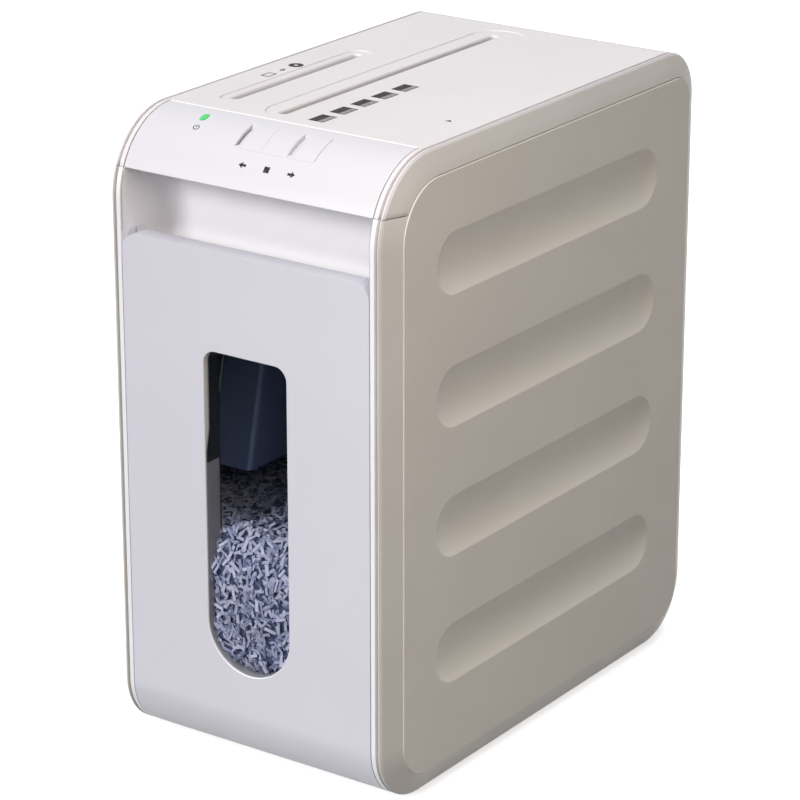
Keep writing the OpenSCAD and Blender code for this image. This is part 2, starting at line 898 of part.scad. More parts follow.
// ---------------------------------------------------------------- entry guides

guide_bottom_z = cutter_z + cutter_r + 5;
guide_top_z = top_z - dish_deep;
lip = 3;
lead_in = 2.4;

module entry_plate(length, width) {
    translate([0, 0, top_z - skin_t]) linear_extrude(skin_t - dish_deep) oval(length - 0.3, width - 0.3);
    translate([0, 0, top_z - skin_t - lip / 2]) linear_extrude(lip / 2)
        oval(length + 2 * lip, width + 2 * lip);
}

// Sloping lead-in along a slot of the given length and width
module slot_lead(length, width) {
    over = 0.5;
    low = width / 2;
    high = low + lead_in + over;
    along_y(-length / 2 - lead_in, length / 2 + lead_in)
        polygon([[-low, -lead_in], [low, -lead_in], [high, over], [-high, over]]);
}

module paper_slot_guide() {
    color([0.9, 0.89, 0.88])
        difference() {
            union() {
                translate([dish_x, dish_y, 0]) entry_plate(dish_len, dish_w);
                block([slot_x - slot_w / 2 - guide_t, slot_rear - slot_len / 2 - guide_t, guide_bottom_z],
                      [slot_x + slot_w / 2 + guide_t, slot_rear + slot_len / 2 + guide_t, guide_top_z - 1]);
            }
            block([slot_x - slot_w / 2, slot_rear - slot_len / 2, guide_bottom_z - 1],
                  [slot_x + slot_w / 2, slot_rear + slot_len / 2, top_z + 1]);
            translate([slot_x, slot_rear, guide_top_z]) slot_lead(slot_len, slot_w);
        }
}

// The disc chute leans so that a rigid disc meets its own nip
disc_nip_x = (left_x + disc_cut_x) / 2;
chute_lean = atan2(disc_nip_x - disc_x, guide_top_z - cutter_z);
chute_len = (guide_top_z - guide_bottom_z) / cos(chute_lean);
module chute(length, width, down, up) {
    translate([disc_x, disc_y, guide_top_z]) rotate([0, -chute_lean, 0])
        block([-width / 2, -length / 2, -down], [width / 2, length / 2, up]);
}
module disc_slot_guide() {
    color([0.9, 0.89, 0.88])
        difference() {
            union() {
                translate([disc_x, disc_y, 0]) entry_plate(disc_dish_len, disc_dish_w);
                chute(disc_len + 2 * guide_t, disc_w + 2 * guide_t, chute_len, -1);
            }
            chute(disc_len, disc_w, chute_len + 1, 2);
            translate([disc_x, disc_y, guide_top_z]) slot_lead(disc_len, disc_w);
        }
}

sensor_w = 6;
module paper_sensor() {
    color([0.1, 0.1, 0.1])
        for (s = [-1, 1])
            translate([slot_x + s * (slot_w / 2 + guide_t + sensor_w / 2), slot_rear, guide_bottom_z + 12])
                cube([sensor_w, sensor_w * 2, sensor_w], center = true);
}

// ---------------------------------------------------------------- chassis

plate_x0 = disc_cut_x - cutter_r - 4;
plate_x1 = bay_x - 4;
plate_z1 = cutter_z + 50;
bush_r = 8;
shaft_xs = [disc_cut_x, left_x, right_x];
rod_r = 4;
rod_places = [[plate_x0 + 6, tray_z + tray_t + 8], [plate_x0 + 6, plate_z1 - 8], [plate_x1 - 6, plate_z1 - 8],
              [(right_x + motor_x) / 2, tray_z + tray_t + 8]];

module chassis_plate(y0) {
    difference() {
        block([plate_x0, y0, tray_z + tray_t], [plate_x1, y0 + plate_t, plate_z1]);
        for (x = shaft_xs) rod_y(x, cutter_z, bush_r + fast_gap, y0 - 1, y0 + plate_t + 1);
        for (p = rod_places) rod_y(p[0], p[1], rod_r / 2 + fast_gap, y0 - 1, y0 + plate_t + 1);
        children();
    }
}
module front_chassis_plate() {
    color([0.66, 0.67, 0.7]) chassis_plate(front_plate_y - plate_t);
}
module rear_chassis_plate() {
    y0 = rear_plate_y - 1;
    y1 = rear_plate_y + plate_t + 1;
    color([0.66, 0.67, 0.7])
        chassis_plate(rear_plate_y) {
            rod_y(motor_x, cutter_z, motor_shaft_r + 3, y0, y1);
            rod_y(idler_x, idler_z, axle_r + fast_gap, y0, y1);
            for (s = [-1, 1]) rod_y(motor_x + s * motor_screw_off, cutter_z, screw_r + 0.1, y0, y1);
        }
}

module tie_rods() {
    color([0.7, 0.7, 0.72])
        for (p = rod_places) {
            rod_y(p[0], p[1], rod_r, front_plate_y, rear_plate_y);
            rod_y(p[0], p[1], rod_r / 2, front_plate_y - plate_t, rear_plate_y + plate_t);
        }
}

bush_flange = 1.2;
module shaft_bushes() {
    color([0.72, 0.55, 0.3])
        for (x = shaft_xs, rear = [0, 1])
            translate([x, rear ? rear_plate_y : front_plate_y, cutter_z]) rotate([rear ? -90 : 90, 0, 0])
                difference() {
                    union() {
                        cylinder(r = bush_r, h = plate_t + bush_flange);
                        translate([0, 0, plate_t]) cylinder(r = bush_r + 2, h = bush_flange);
                    }
                    translate([0, 0, -1]) cylinder(r = shaft_r + run_gap, h = plate_t + 4);
                }
}

// ---------------------------------------------------------------- cutters

disc_t = disc_step / 2 - disc_gap;
discs_n = floor((chassis_gap - 6) / disc_step);
short_n = floor(disc_len / disc_step);
stack_y0 = slot_rear - (discs_n - 1) * disc_step / 2 - disc_step / 2;
short_y0 = stack_y0 + disc_step * round((disc_y - disc_len / 2 - stack_y0) / disc_step);
shaft_y0 = front_plate_y - plate_t - 2;

// A row of thin cutting discs on a spacer core, with the first disc at y0
module disc_stack(x, y0, n) {
    color([0.45, 0.46, 0.48]) translate([x, y0, cutter_z]) rotate([-90, 0, 0])
        difference() {
            union() {
                cylinder(r = spacer_r, h = (n - 1) * disc_step + disc_t);
                for (i = [0 : n - 1])
                    translate([0, 0, i * disc_step]) cylinder(r = cutter_r, h = disc_t);
            }
            translate([0, 0, -1]) cylinder(r = shaft_r + fast_gap, h = n * disc_step + 2);
        }
}
module shaft(x, y1) {
    color([0.62, 0.63, 0.65]) rod_y(x, cutter_z, shaft_r, shaft_y0, y1);
}
module right_cutter_discs() { disc_stack(right_x, stack_y0 + disc_step / 2, discs_n); }
module left_cutter_discs() { disc_stack(left_x, stack_y0, discs_n); }
module disc_cutter_discs() { disc_stack(disc_cut_x, short_y0 + disc_step / 2, short_n); }
module right_cutter_shaft() { shaft(right_x, output_y + gear_w + 1); }
module left_cutter_shaft() { shaft(left_x, sync_y + gear_w + 1); }
module disc_cutter_shaft() { shaft(disc_cut_x, sync_y + gear_w + 1); }

// Comb below a cutter: one finger in each gap between its discs
comb_w = 12;
comb_bar = 6;
comb_gap = 0.4;
module comb(x, y0, n) {
    finger_t = disc_step - disc_t - 2 * comb_gap;
    bar_z = cutter_z - cutter_r - 3;
    color([0.3, 0.3, 0.32]) {
        block([x - comb_w / 2, front_plate_y, bar_z - comb_bar], [x + comb_w / 2, rear_plate_y, bar_z]);
        for (i = [0 : n - 2])
            translate([x - comb_w / 4, y0 + i * disc_step + disc_t + comb_gap, bar_z - 1])
                cube([comb_w / 2, finger_t, cutter_r + 3.4 - spacer_r]);
    }
}
module right_comb() { comb(right_x, stack_y0 + disc_step / 2, discs_n); }
module left_comb() { comb(left_x, stack_y0, discs_n); }
module disc_comb() { comb(disc_cut_x, short_y0 + disc_step / 2, short_n); }

// ---------------------------------------------------------------- gears

sync_y = rear_plate_y + plate_t + 2.5;
output_y = sync_y + gear_w + 1.5;
motor_gear_y = output_y + gear_w + 1.5;
case_y = motor_gear_y + gear_w + 1.5;
case_t = 2;
axle_r = 3;
bore_play = 0.05;

function polar(r, a) = [r * cos(a), r * sin(a)];
// Involute function of an angle, in degrees
function inv(a) = tan(a) * 180 / PI - a;

// Half the angle that a tooth fills at radius r
function tooth_half(m, z, r) =
    let (rp = m * z / 2, rb = rp * cos(pressure_angle))
    (PI * m / 2 - backlash) / 2 / rp * 180 / PI + inv(pressure_angle) - inv(acos(min(1, rb / r)));

flank_steps = 3;
function tooth_radii(m, z) =
    let (rb = m * z / 2 * cos(pressure_angle), root = m * (z / 2 - 1.2),
         tip = m * (z / 2 + 0.95), low = max(rb, root))
    [root - EPS, for (k = [0 : flank_steps]) low + (tip - low) * k / flank_steps];
function gear_points(m, z) =
    let (rs = tooth_radii(m, z), n = len(rs))
    [for (t = [0 : z - 1], k = [0 : 2 * n - 1])
        let (up = k < n, r = rs[up ? k : 2 * n - 1 - k],
             half = tooth_half(m, z, max(r, m * z / 2 * cos(pressure_angle))))
        polar(r, 360 * t / z + (up ? -half : half))];

// A gear that starts at y0, with a tooth pointing at the given angle
module gear(x, z, y0, m, teeth, point_at, bore, width = gear_w) {
    translate([x, y0 + width, z]) rotate([90, 0, 0]) rotate([0, 0, point_at])
        difference() {
            linear_extrude(width) polygon(gear_points(m, teeth));
            translate([0, 0, -1]) cylinder(r = bore, h = width + 2);
        }
}

// The reduction gear sits where both of its meshes have their right distance
sync_module = cutter_pitch / sync_teeth;
motor_stage = motor_module * (pinion_teeth + reduction_teeth) / 2;
output_stage = output_module * (small_teeth + output_teeth) / 2;
motor_span = motor_x - right_x;
idler_dx = (pow(output_stage, 2) - pow(motor_stage, 2) + pow(motor_span, 2)) / (2 * motor_span);
idler_dz = sqrt(pow(output_stage, 2) - pow(idler_dx, 2));
idler_x = right_x + idler_dx;
idler_z = cutter_z + idler_dz;
to_idler = atan2(idler_dz, idler_dx);
from_motor = atan2(idler_z - cutter_z, idler_x - motor_x);

module sync_gear(x, point_at) {
    color([0.5, 0.5, 0.52])
        gear(x, cutter_z, sync_y, sync_module, sync_teeth, point_at, shaft_r + fast_gap);
}
module right_sync_gear() { sync_gear(right_x, 180); }
module left_sync_gear() { sync_gear(left_x, 180 / sync_teeth); }
module disc_sync_gear() { sync_gear(disc_cut_x, sync_teeth % 2 == 0 ? 0 : 180 / sync_teeth); }
module output_gear() {
    color([0.55, 0.55, 0.57])
        gear(right_x, cutter_z, output_y, output_module, output_teeth, to_idler, shaft_r + fast_gap);
}
module reduction_gear() {
    color([0.85, 0.83, 0.75]) {
        gear(idler_x, idler_z, output_y, output_module, small_teeth, to_idler + 180 + 180 / small_teeth,
             axle_r + bore_play, motor_gear_y - output_y + 1);
        gear(idler_x, idler_z, motor_gear_y, motor_module, reduction_teeth,
             from_motor + 180 + 180 / reduction_teeth, axle_r + bore_play);
    }
}
module motor_pinion() {
    color([0.6, 0.6, 0.62])
        gear(motor_x, cutter_z, motor_gear_y, motor_module, pinion_teeth, from_motor,
             motor_shaft_r + fast_gap);
}
module reduction_axle() {
    color([0.7, 0.7, 0.72])
        translate([idler_x, rear_plate_y, idler_z]) rotate([-90, 0, 0]) {
            cylinder(r = axle_r, h = case_y - rear_plate_y + case_t);
            translate([0, 0, plate_t]) cylinder(r = axle_r + 2, h = output_y - rear_plate_y - plate_t - 0.3);
        }
}

// Cover over the gear train, screwed to the rear chassis plate
module gear_case() {
    x0 = disc_cut_x - sync_module * (sync_teeth / 2 + 1) - 3;
    x1 = motor_x + motor_module * (pinion_teeth / 2 + 1) + 5;
    z0 = max(cutter_z - output_module * (output_teeth / 2 + 1) - 2, tray_z + tray_t);
    z1 = idler_z + motor_module * (reduction_teeth / 2 + 1) + 2;
    color([0.2, 0.2, 0.22])
        difference() {
            block([x0 - case_t, rear_plate_y + plate_t, z0], [x1 + case_t, case_y + case_t, z1 + case_t]);
            block([x0, rear_plate_y, z0 + case_t], [x1, case_y, z1]);
            rod_y(idler_x, idler_z, axle_r + fast_gap, case_y - 1, case_y + case_t + 1);
        }
}

// ---------------------------------------------------------------- motor

can_t = 2.4;
motor_y0 = rear_plate_y - motor_len;
motor_screw_off = 0.62 * motor_r;
fan_w = 11;
rotor_y0 = motor_y0 - fan_w - 6;
motor_boss_r = 7;
air_gap = 0.8;
magnet_t = 4;
end_t = 4;
magnet_y = motor_y0 + 22;
magnet_len = motor_len - 36;
core_r = motor_r - can_t - magnet_t - air_gap;
core_y = magnet_y + 4;
core_len = magnet_len - 8;
winding_over = 5;
commutator_r = 0.42 * core_r;
commutator_y = motor_y0 + end_t + 2;
commutator_len = 14;

module about_motor(y) {
    translate([motor_x, y, cutter_z]) rotate([-90, 0, 0]) children();
}
module motor_can() {
    color([0.5, 0.51, 0.53])
        difference() {
            about_motor(motor_y0 + end_t) cylinder(r = motor_r, h = motor_len - end_t);
            about_motor(motor_y0 + end_t - 1) cylinder(r = motor_r - can_t, h = motor_len - end_t - 2);
            about_motor(rear_plate_y - 5) cylinder(r = motor_shaft_r + run_gap, h = 10);
            for (s = [-1, 1])
                translate([motor_x + s * motor_screw_off, rear_plate_y + 1, cutter_z]) rotate([90, 0, 0])
                    cylinder(r = screw_r + fast_gap, h = 5);
        }
}
module motor_magnets() {
    color([0.25, 0.25, 0.27])
        difference() {
            about_motor(magnet_y) cylinder(r = motor_r - can_t - 0.02, h = magnet_len);
            about_motor(magnet_y - 2) cylinder(r = motor_r - can_t - magnet_t, h = motor_len);
            // Gap between the two magnet shells
            block([motor_x - 4, motor_y0, cutter_z - motor_r],
                  [motor_x + 4, rear_plate_y, cutter_z + motor_r]);
        }
}
module motor_end_cap() {
    color([0.18, 0.18, 0.2])
        difference() {
            about_motor(motor_y0) cylinder(r = motor_r, h = end_t);
            about_motor(motor_y0 - 1) cylinder(r = motor_shaft_r + run_gap, h = end_t + 2);
            for (a = [0 : 60 : 300])
                about_motor(motor_y0 - 1) rotate([0, 0, a])
                    translate([motor_screw_off, 0, 0]) cylinder(r = 4, h = end_t + 2);
        }
}
module motor_rotor() {
    color([0.6, 0.42, 0.28]) {
        about_motor(rotor_y0) cylinder(r = motor_shaft_r, h = motor_gear_y + gear_w - rotor_y0);
        about_motor(core_y) cylinder(r = core_r, h = core_len);
        about_motor(core_y - winding_over) cylinder(r = 0.72 * core_r, h = core_len + 2 * winding_over);
        about_motor(commutator_y) cylinder(r = commutator_r, h = commutator_len);
    }
}
brush = [7, 10, 6];
brush_gap = 0.3;
module motor_brushes() {
    color([0.2, 0.2, 0.2])
        for (s = [-1, 1])
            translate([motor_x + s * (commutator_r + brush_gap + brush[0] / 2),
                       motor_y0 + end_t + brush[1] / 2, cutter_z])
                cube(brush, center = true);
}
module motor_fan() {
    fan_r = motor_r - 4;
    color([0.15, 0.15, 0.16])
        difference() {
            union() {
                about_motor(rotor_y0 + 1) cylinder(r = motor_boss_r, h = fan_w);
                about_motor(rotor_y0 + 1) cylinder(r = fan_r, h = 1.5);
                for (a = [0 : 40 : 320])
                    about_motor(rotor_y0 + 2) rotate([0, 0, a]) translate([motor_boss_r - 1, -0.8, 0])
                        cube([fan_r - motor_boss_r, 1.6, fan_w - 2]);
            }
            about_motor(rotor_y0) cylinder(r = motor_shaft_r + fast_gap, h = fan_w + 3);
        }
}
module motor_screws() {
    color([0.55, 0.55, 0.57])
        for (s = [-1, 1])
            translate([motor_x + s * motor_screw_off, rear_plate_y + plate_t, cutter_z]) rotate([-90, 0, 0]) {
                cylinder(r = head_r, h = head_t);
                translate([0, 0, -plate_t - 3]) cylinder(r = screw_r, h = plate_t + 4);
            }
}

// ---------------------------------------------------------------- control board

relay = [18, 15, 16];
transformer = [24, 28, 22];
terminals = [38, 10, 11];
capacitor_r = 7;
capacitor_y = 58;
// Board with its relay, transformer, two capacitors and terminal block
module control_board() {
    z = tray_z + tray_t + board_post;
    top = z + board_t;
    color([0.1, 0.35, 0.2]) block([board_x0, board_y0, z], [board_x1, board_y1, top]);
    color([0.2, 0.2, 0.25]) {
        translate([board_x0 + 3, board_y0 + 12, top]) cube(relay);
        translate([board_x0 + relay[0] + 6, board_y0 + 10, top]) cube(transformer);
        for (i = [0, 1])
            translate([board_x0 + 2 * capacitor_r + i * 3 * capacitor_r, board_y0 + capacitor_y, top])
                cylinder(r = capacitor_r, h = transformer[2]);
        translate([board_x0 + 6, board_y1 - 22, top]) cube(terminals);
    }
}

// ---------------------------------------------------------------- the assembly

left_side_panel();
right_side_panel();
left_side_frame();
right_side_frame();
top_cover();
control_strip();
led_lens();
reverse_key();
stop_key();
forward_key();
key_board();
key_switches();
hand_recess();
rear_panel();
cord_gland();
case_screws();
base_plate();
rubber_feet();
drawer_front();
window_pane();
bin_tub();
drawer_screws();
shredded_paper();
disc_scrap_box();
drawer_rails();
bin_magnet();
bin_switch();
head_tray();
paper_slot_guide();
disc_slot_guide();
paper_sensor();
front_chassis_plate();
rear_chassis_plate();
tie_rods();
shaft_bushes();
right_cutter_discs();
left_cutter_discs();
disc_cutter_discs();
right_cutter_shaft();
left_cutter_shaft();
disc_cutter_shaft();
right_comb();
left_comb();
disc_comb();
right_sync_gear();
left_sync_gear();
disc_sync_gear();
output_gear();
reduction_gear();
reduction_axle();
gear_case();
motor_can();
motor_magnets();
motor_end_cap();
motor_rotor();
motor_brushes();
motor_pinion();
motor_fan();
motor_screws();
control_board();
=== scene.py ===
"""Deskside paper shredder: finishes, fine shapes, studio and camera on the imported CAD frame.

Sizes are in millimetres in the part's own frame: +Z up, the drawer faces -Y, X runs to the right of
someone in front of it. Meshes are scaled to metres when they are finished.
"""

import json
import logging
import math
from collections.abc import Callable, Sequence
from dataclasses import dataclass, field
from enum import Enum

import bmesh
import bpy
from mathutils import Euler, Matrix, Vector, noise

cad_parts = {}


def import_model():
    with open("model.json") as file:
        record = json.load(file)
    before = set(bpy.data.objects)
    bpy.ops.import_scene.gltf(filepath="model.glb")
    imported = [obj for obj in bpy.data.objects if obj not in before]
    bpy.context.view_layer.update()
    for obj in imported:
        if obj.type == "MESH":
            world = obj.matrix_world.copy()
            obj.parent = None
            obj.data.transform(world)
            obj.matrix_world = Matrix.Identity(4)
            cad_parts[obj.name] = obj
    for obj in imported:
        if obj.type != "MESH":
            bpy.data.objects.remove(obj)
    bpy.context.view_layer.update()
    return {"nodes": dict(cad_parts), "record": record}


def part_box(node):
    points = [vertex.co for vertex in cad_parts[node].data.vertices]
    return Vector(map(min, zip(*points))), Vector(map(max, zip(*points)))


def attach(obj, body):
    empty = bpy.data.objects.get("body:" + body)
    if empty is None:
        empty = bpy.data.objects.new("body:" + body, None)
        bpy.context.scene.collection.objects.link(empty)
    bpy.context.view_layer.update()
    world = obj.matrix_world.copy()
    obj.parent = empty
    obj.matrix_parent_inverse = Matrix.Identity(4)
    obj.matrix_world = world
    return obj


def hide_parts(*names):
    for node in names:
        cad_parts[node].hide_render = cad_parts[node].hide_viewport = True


MM = 0.001
SEED = 11
WHITE = (1.0, 1.0, 1.0, 1.0)
# Noise seldom leaves this range, so it is spread over the whole of it
NOISE_LOW, NOISE_HIGH = 0.3, 0.7
log = logging.getLogger("shredder")

Point2 = tuple[float, float]
Point3 = tuple[float, float, float]
Tree = bpy.types.NodeTree
Node = bpy.types.Node
Socket = bpy.types.NodeSocket
Piece = bpy.types.Object
Row = list[bmesh.types.BMVert]


# ------------------------------------------------------------------ node and colour helpers


def linear(colour: str, alpha: float = 1.0) -> tuple[float, float, float, float]:
    """Turn an sRGB hex colour into linear RGBA.

    Args:
        colour: six hex digits with a leading hash.
        alpha: opacity, passed on as it is.

    Returns:
        Linear red, green, blue and alpha.
    """
    parts = [int(colour[i : i + 2], 16) / 255 for i in (1, 3, 5)]
    made = [p / 12.92 if p <= 0.04045 else ((p + 0.055) / 1.055) ** 2.4 for p in parts]
    return (*made, alpha)


def add(
    tree: Tree,
    kind: str,
    settings: dict[str, object] | None = None,
    inputs: dict[str | int, object] | None = None,
) -> Node:
    """Add one node with its settings and its inputs, each a value or a socket to link.

    Args:
        tree: shader or geometry tree that gets the node.
        kind: the node's type name.
        settings: properties of the node.
        inputs: values or output sockets by input name or index.

    Returns:
        The new node.
    """
    node = tree.nodes.new(kind)
    for name, value in (settings or {}).items():
        setattr(node, name, value)
    for name, value in (inputs or {}).items():
        socket = node.inputs[name]
        if isinstance(value, bpy.types.NodeSocket):
            tree.links.new(value, socket)
        else:
            socket.default_value = value
    return node


def geometry_tree(name: str, inputs: dict[str, str]) -> tuple[Tree, Sequence[Socket]]:
    """Start a geometry tree that gives out one geometry.

    Args:
        name: the tree's name.
        inputs: the kind of each input by its name.

    Returns:
        The tree and its inputs as sockets to link from.
    """
    tree = bpy.data.node_groups.new(name, "GeometryNodeTree")
    tree.interface.new_socket("Geometry", in_out="OUTPUT", socket_type="NodeSocketGeometry")
    for label, kind in inputs.items():
        tree.interface.new_socket(label, in_out="INPUT", socket_type=f"NodeSocket{kind}")
    return tree, add(tree, "NodeGroupInput").outputs


def shown_or_lit(tree: Tree, lit: Socket, shown: Socket) -> Socket:
    """Mix what lights the object with what camera, glass and metal see.

    Args:
        tree: nodes of the world or of the floor's material.
        lit: shader for the light that reaches the object.
        shown: shader for camera, glossy and transmission rays.

    Returns:
        The mixed shader.
    """
    rays = add(tree, "ShaderNodeLightPath").outputs
    seen = rays["Is Camera Ray"]
    for kind in ("Is Glossy Ray", "Is Transmission Ray"):
        seen = add(tree, "ShaderNodeMath", {"operation": "MAXIMUM"}, {0: seen, 1: rays[kind]}).outputs[0]
    return add(tree, "ShaderNodeMixShader", inputs={0: seen, 1: lit, 2: shown}).outputs[0]


def link(name: str, data: bpy.types.ID) -> Piece:
    """Put new data into the scene as an object.

    Args:
        name: the object's name.
        data: its mesh, lamp or camera.

    Returns:
        The object.
    """
    made = bpy.data.objects.new(name, data)
    bpy.context.scene.collection.objects.link(made)
    return made


# ------------------------------------------------------------------ finishes


@dataclass(frozen=True)
class Finish:
    """A surface finish, named for its material and how it was made."""

    name: str
    colour: str
    roughness: float = 0.5
    metallic: float = 0.0
    ior: float = 1.5

    def material(self) -> bpy.types.Material:
        """Return the finish as a material, made on first use.

        Returns:
            The material with all its nodes.
        """
        found = bpy.data.materials.get(self.name)
        if found:
            return found
        made = bpy.data.materials.new(self.name)
        made.use_nodes = True
        tree = made.node_tree
        tree.nodes.clear()
        constants = {
            "Base Color": linear(self.colour),
            "Roughness": self.roughness,
            "Metallic": self.metallic,
            "IOR": self.ior,
        }
        shader = add(tree, "ShaderNodeBsdfPrincipled", inputs=constants)
        add(tree, "ShaderNodeOutputMaterial", inputs={"Surface": shader.outputs[0]})
        made.diffuse_color = linear(self.colour)
        made.metallic, made.roughness = self.metallic, self.roughness
        self.detail(tree, shader)
        return made

    def detail(self, tree: Tree, shader: Node) -> None:
        """Add what makes the finish more than one flat colour.

        Args:
            tree: the material's nodes.
            shader: its shader.
        """

    def place(self, tree: Tree, stretch: Point3 = (1, 1, 1)) -> Socket:
        """Add object coordinates in millimetres.

        Args:
            tree: the material's nodes.
            stretch: scale along the axes.

        Returns:
            The coordinates.
        """
        scale = tuple(s / MM for s in stretch)
        where = add(tree, "ShaderNodeTexCoord").outputs["Object"]
        return add(tree, "ShaderNodeMapping", inputs={"Vector": where, "Scale": scale}).outputs[0]

    def grains(self, tree: Tree, size_mm: float, detail: float = 2.0, stretch: Point3 = (1, 1, 1)) -> Socket:
        """Return a soft random pattern on object coordinates.

        Args:
            tree: the material's nodes.
            size_mm: how wide a grain is, about.
            detail: how many finer patterns lie over it.
            stretch: scale along the axes; a small one draws the grains out.

        Returns:
            A factor from 0 to 1.
        """
        where = self.place(tree, stretch)
        given = {"Vector": where, "Scale": 1 / size_mm, "Detail": detail, "Roughness": 0.5}
        return add(tree, "ShaderNodeTexNoise", inputs=given).outputs[0]

    def wear(
        self,
        tree: Tree,
        shader: Node,
        tint: tuple[Socket, str, str] | None = None,
        rough: tuple[Socket, float, float] | None = None,
        relief: tuple[Socket, float] | None = None,
    ) -> None:
        """Drive the surface's colour, roughness and height by patterns.

        Args:
            tree: the material's nodes.
            shader: the shader that they drive.
            tint: a pattern and the colours at its low and its high end.
            rough: a pattern and the roughness at its low and its high end.
            relief: a pattern and its depth in millimetres.
        """
        if tint:
            ramp = add(tree, "ShaderNodeValToRGB", inputs={"Fac": tint[0]})
            for stop, at, colour in zip(ramp.color_ramp.elements, (NOISE_LOW, NOISE_HIGH), tint[1:]):
                stop.position, stop.color = at, linear(colour)
            tree.links.new(ramp.outputs[0], shader.inputs["Base Color"])
        if rough:
            limits = {"From Min": NOISE_LOW, "From Max": NOISE_HIGH, "To Min": rough[1], "To Max": rough[2]}
            spread = add(tree, "ShaderNodeMapRange", inputs={"Value": rough[0], **limits})
            tree.links.new(spread.outputs[0], shader.inputs["Roughness"])
        if relief:
            given = {"Strength": 1.0, "Distance": relief[1] * MM, "Height": relief[0]}
            tree.links.new(add(tree, "ShaderNodeBump", inputs=given).outputs[0], shader.inputs["Normal"])


@dataclass(frozen=True)
class MouldedPlastic(Finish):
    """Injection-moulded plastic with a spark-eroded grain and faint flow shading.

    The grain softens its gloss, and slight drifts in tone follow the flow of the melt. Where the mould
    was polished, a clear even gloss lies over it.
    """

    shade: str = "#808080"
    grain_mm: float = 0.7
    grain_depth: float = 0.012
    gloss: float = 0.0
    flow_mm: float = 70.0
    patch_mm: float = 9.0

    def detail(self, tree: Tree, shader: Node) -> None:
        """Add the flow shading, the grain and a clear layer where the mould was polished.

        Args:
            tree: the material's nodes.
            shader: its shader.
        """
        spread = 0.006 if self.gloss else 0.04
        self.wear(
            tree,
            shader,
            (self.grains(tree, self.flow_mm, 1.0), self.shade, self.colour),
            (self.grains(tree, self.patch_mm), self.roughness - spread, self.roughness + spread),
            (self.grains(tree, self.grain_mm), self.grain_depth) if self.grain_depth else None,
        )
        if self.gloss:
            shader.inputs["Coat Weight"].default_value = self.gloss
            shader.inputs["Coat Roughness"].default_value = 0.08


@dataclass(frozen=True)
class SmokedSheet(Finish):
    """Smoke-tinted polycarbonate, injection moulded: it lets the bin show, darker and cooler."""

    cover: float = 0.06

    def detail(self, tree: Tree, shader: Node) -> None:
        """Make the sheet see-through, with the faint waves of a moulded pane.

        Args:
            tree: the material's nodes.
            shader: its shader.
        """
        shader.inputs["Alpha"].default_value = self.cover
        shader.inputs["Specular IOR Level"].default_value = 0.15
        rough = (self.grains(tree, 14), self.roughness, self.roughness + 0.05)
        self.wear(tree, shader, rough=rough, relief=(self.grains(tree, 30, 0.0), 0.02))


@dataclass(frozen=True)
class CutPaper(Finish):
    """Cross-cut office paper, matt, each strip a little different in tone, some with print on them."""

    shades: tuple[tuple[float, str], ...] = ((0.0, "#4A5475"), (0.1, "#7C86AC"), (0.35, "#A6AECF"))
    ink: str = "#5A6276"

    def detail(self, tree: Tree, shader: Node) -> None:
        """Tint each strip by its own stored number, print on it and add the paper's fibres.

        Args:
            tree: the material's nodes.
            shader: its shader.
        """
        own = add(tree, "ShaderNodeAttribute", {"attribute_name": "tint"})
        ramp = add(tree, "ShaderNodeValToRGB", inputs={"Fac": own.outputs["Fac"]})
        stops = ramp.color_ramp.elements
        stops[1].color = linear(self.colour)
        for i, (at, shade) in enumerate(self.shades):
            (stops.new(at) if i else stops[0]).color = linear(shade)
        # Print shows as small grey marks, drawn out along Z like letters in a line
        limits = {"From Min": 0.66, "From Max": 0.7, "To Min": 0.0, "To Max": 0.5}
        marks = self.grains(tree, 1.3, 1.0, (1.0, 1.0, 0.35))
        inked = add(tree, "ShaderNodeMapRange", inputs={"Value": marks, **limits})
        both = {0: inked.outputs[0], 6: ramp.outputs[0], 7: linear(self.ink)}
        ink = add(tree, "ShaderNodeMix", {"data_type": "RGBA", "blend_type": "MIX"}, both)
        tree.links.new(ink.outputs[2], shader.inputs["Base Color"])
        self.wear(tree, shader, relief=(self.grains(tree, 0.5), 0.02))


@dataclass(frozen=True)
class RolledSteel(Finish):
    """Steel sheet, galvanised: crystals of zinc a few millimetres wide, each with its own grey."""

    spangle_mm: float = 5.0

    def detail(self, tree: Tree, shader: Node) -> None:
        """Add the zinc crystals and the fine rolling marks.

        Args:
            tree: the material's nodes.
            shader: its shader.
        """
        given = {"Vector": self.place(tree), "Scale": 1 / self.spangle_mm}
        crystal = add(tree, "ShaderNodeTexVoronoi", inputs=given)
        grey = add(tree, "ShaderNodeSeparateColor", inputs={0: crystal.outputs["Color"]}).outputs
        self.wear(
            tree,
            shader,
            (grey[0], "#989CA2", self.colour),
            (grey[1], self.roughness - 0.08, self.roughness + 0.1),
            (self.grains(tree, 0.6, stretch=(0.05, 1, 1)), 0.006),
        )


@dataclass(frozen=True)
class TurnedSteel(Finish):
    """Steel turned or ground on its own axis, oiled: fine rings and a dark, wet gloss."""

    ring_mm: float = 0.5

    def detail(self, tree: Tree, shader: Node) -> None:
        """Add tool marks across Y, the direction of every shaft, and patches of oil.

        Args:
            tree: the material's nodes.
            shader: its shader.
        """
        oil = self.grains(tree, 12)
        self.wear(
            tree,
            shader,
            (oil, "#6E7074", self.colour),
            (oil, self.roughness - 0.1, self.roughness + 0.12),
            (self.grains(tree, self.ring_mm, stretch=(0.08, 1.0, 0.08)), 0.01),
        )


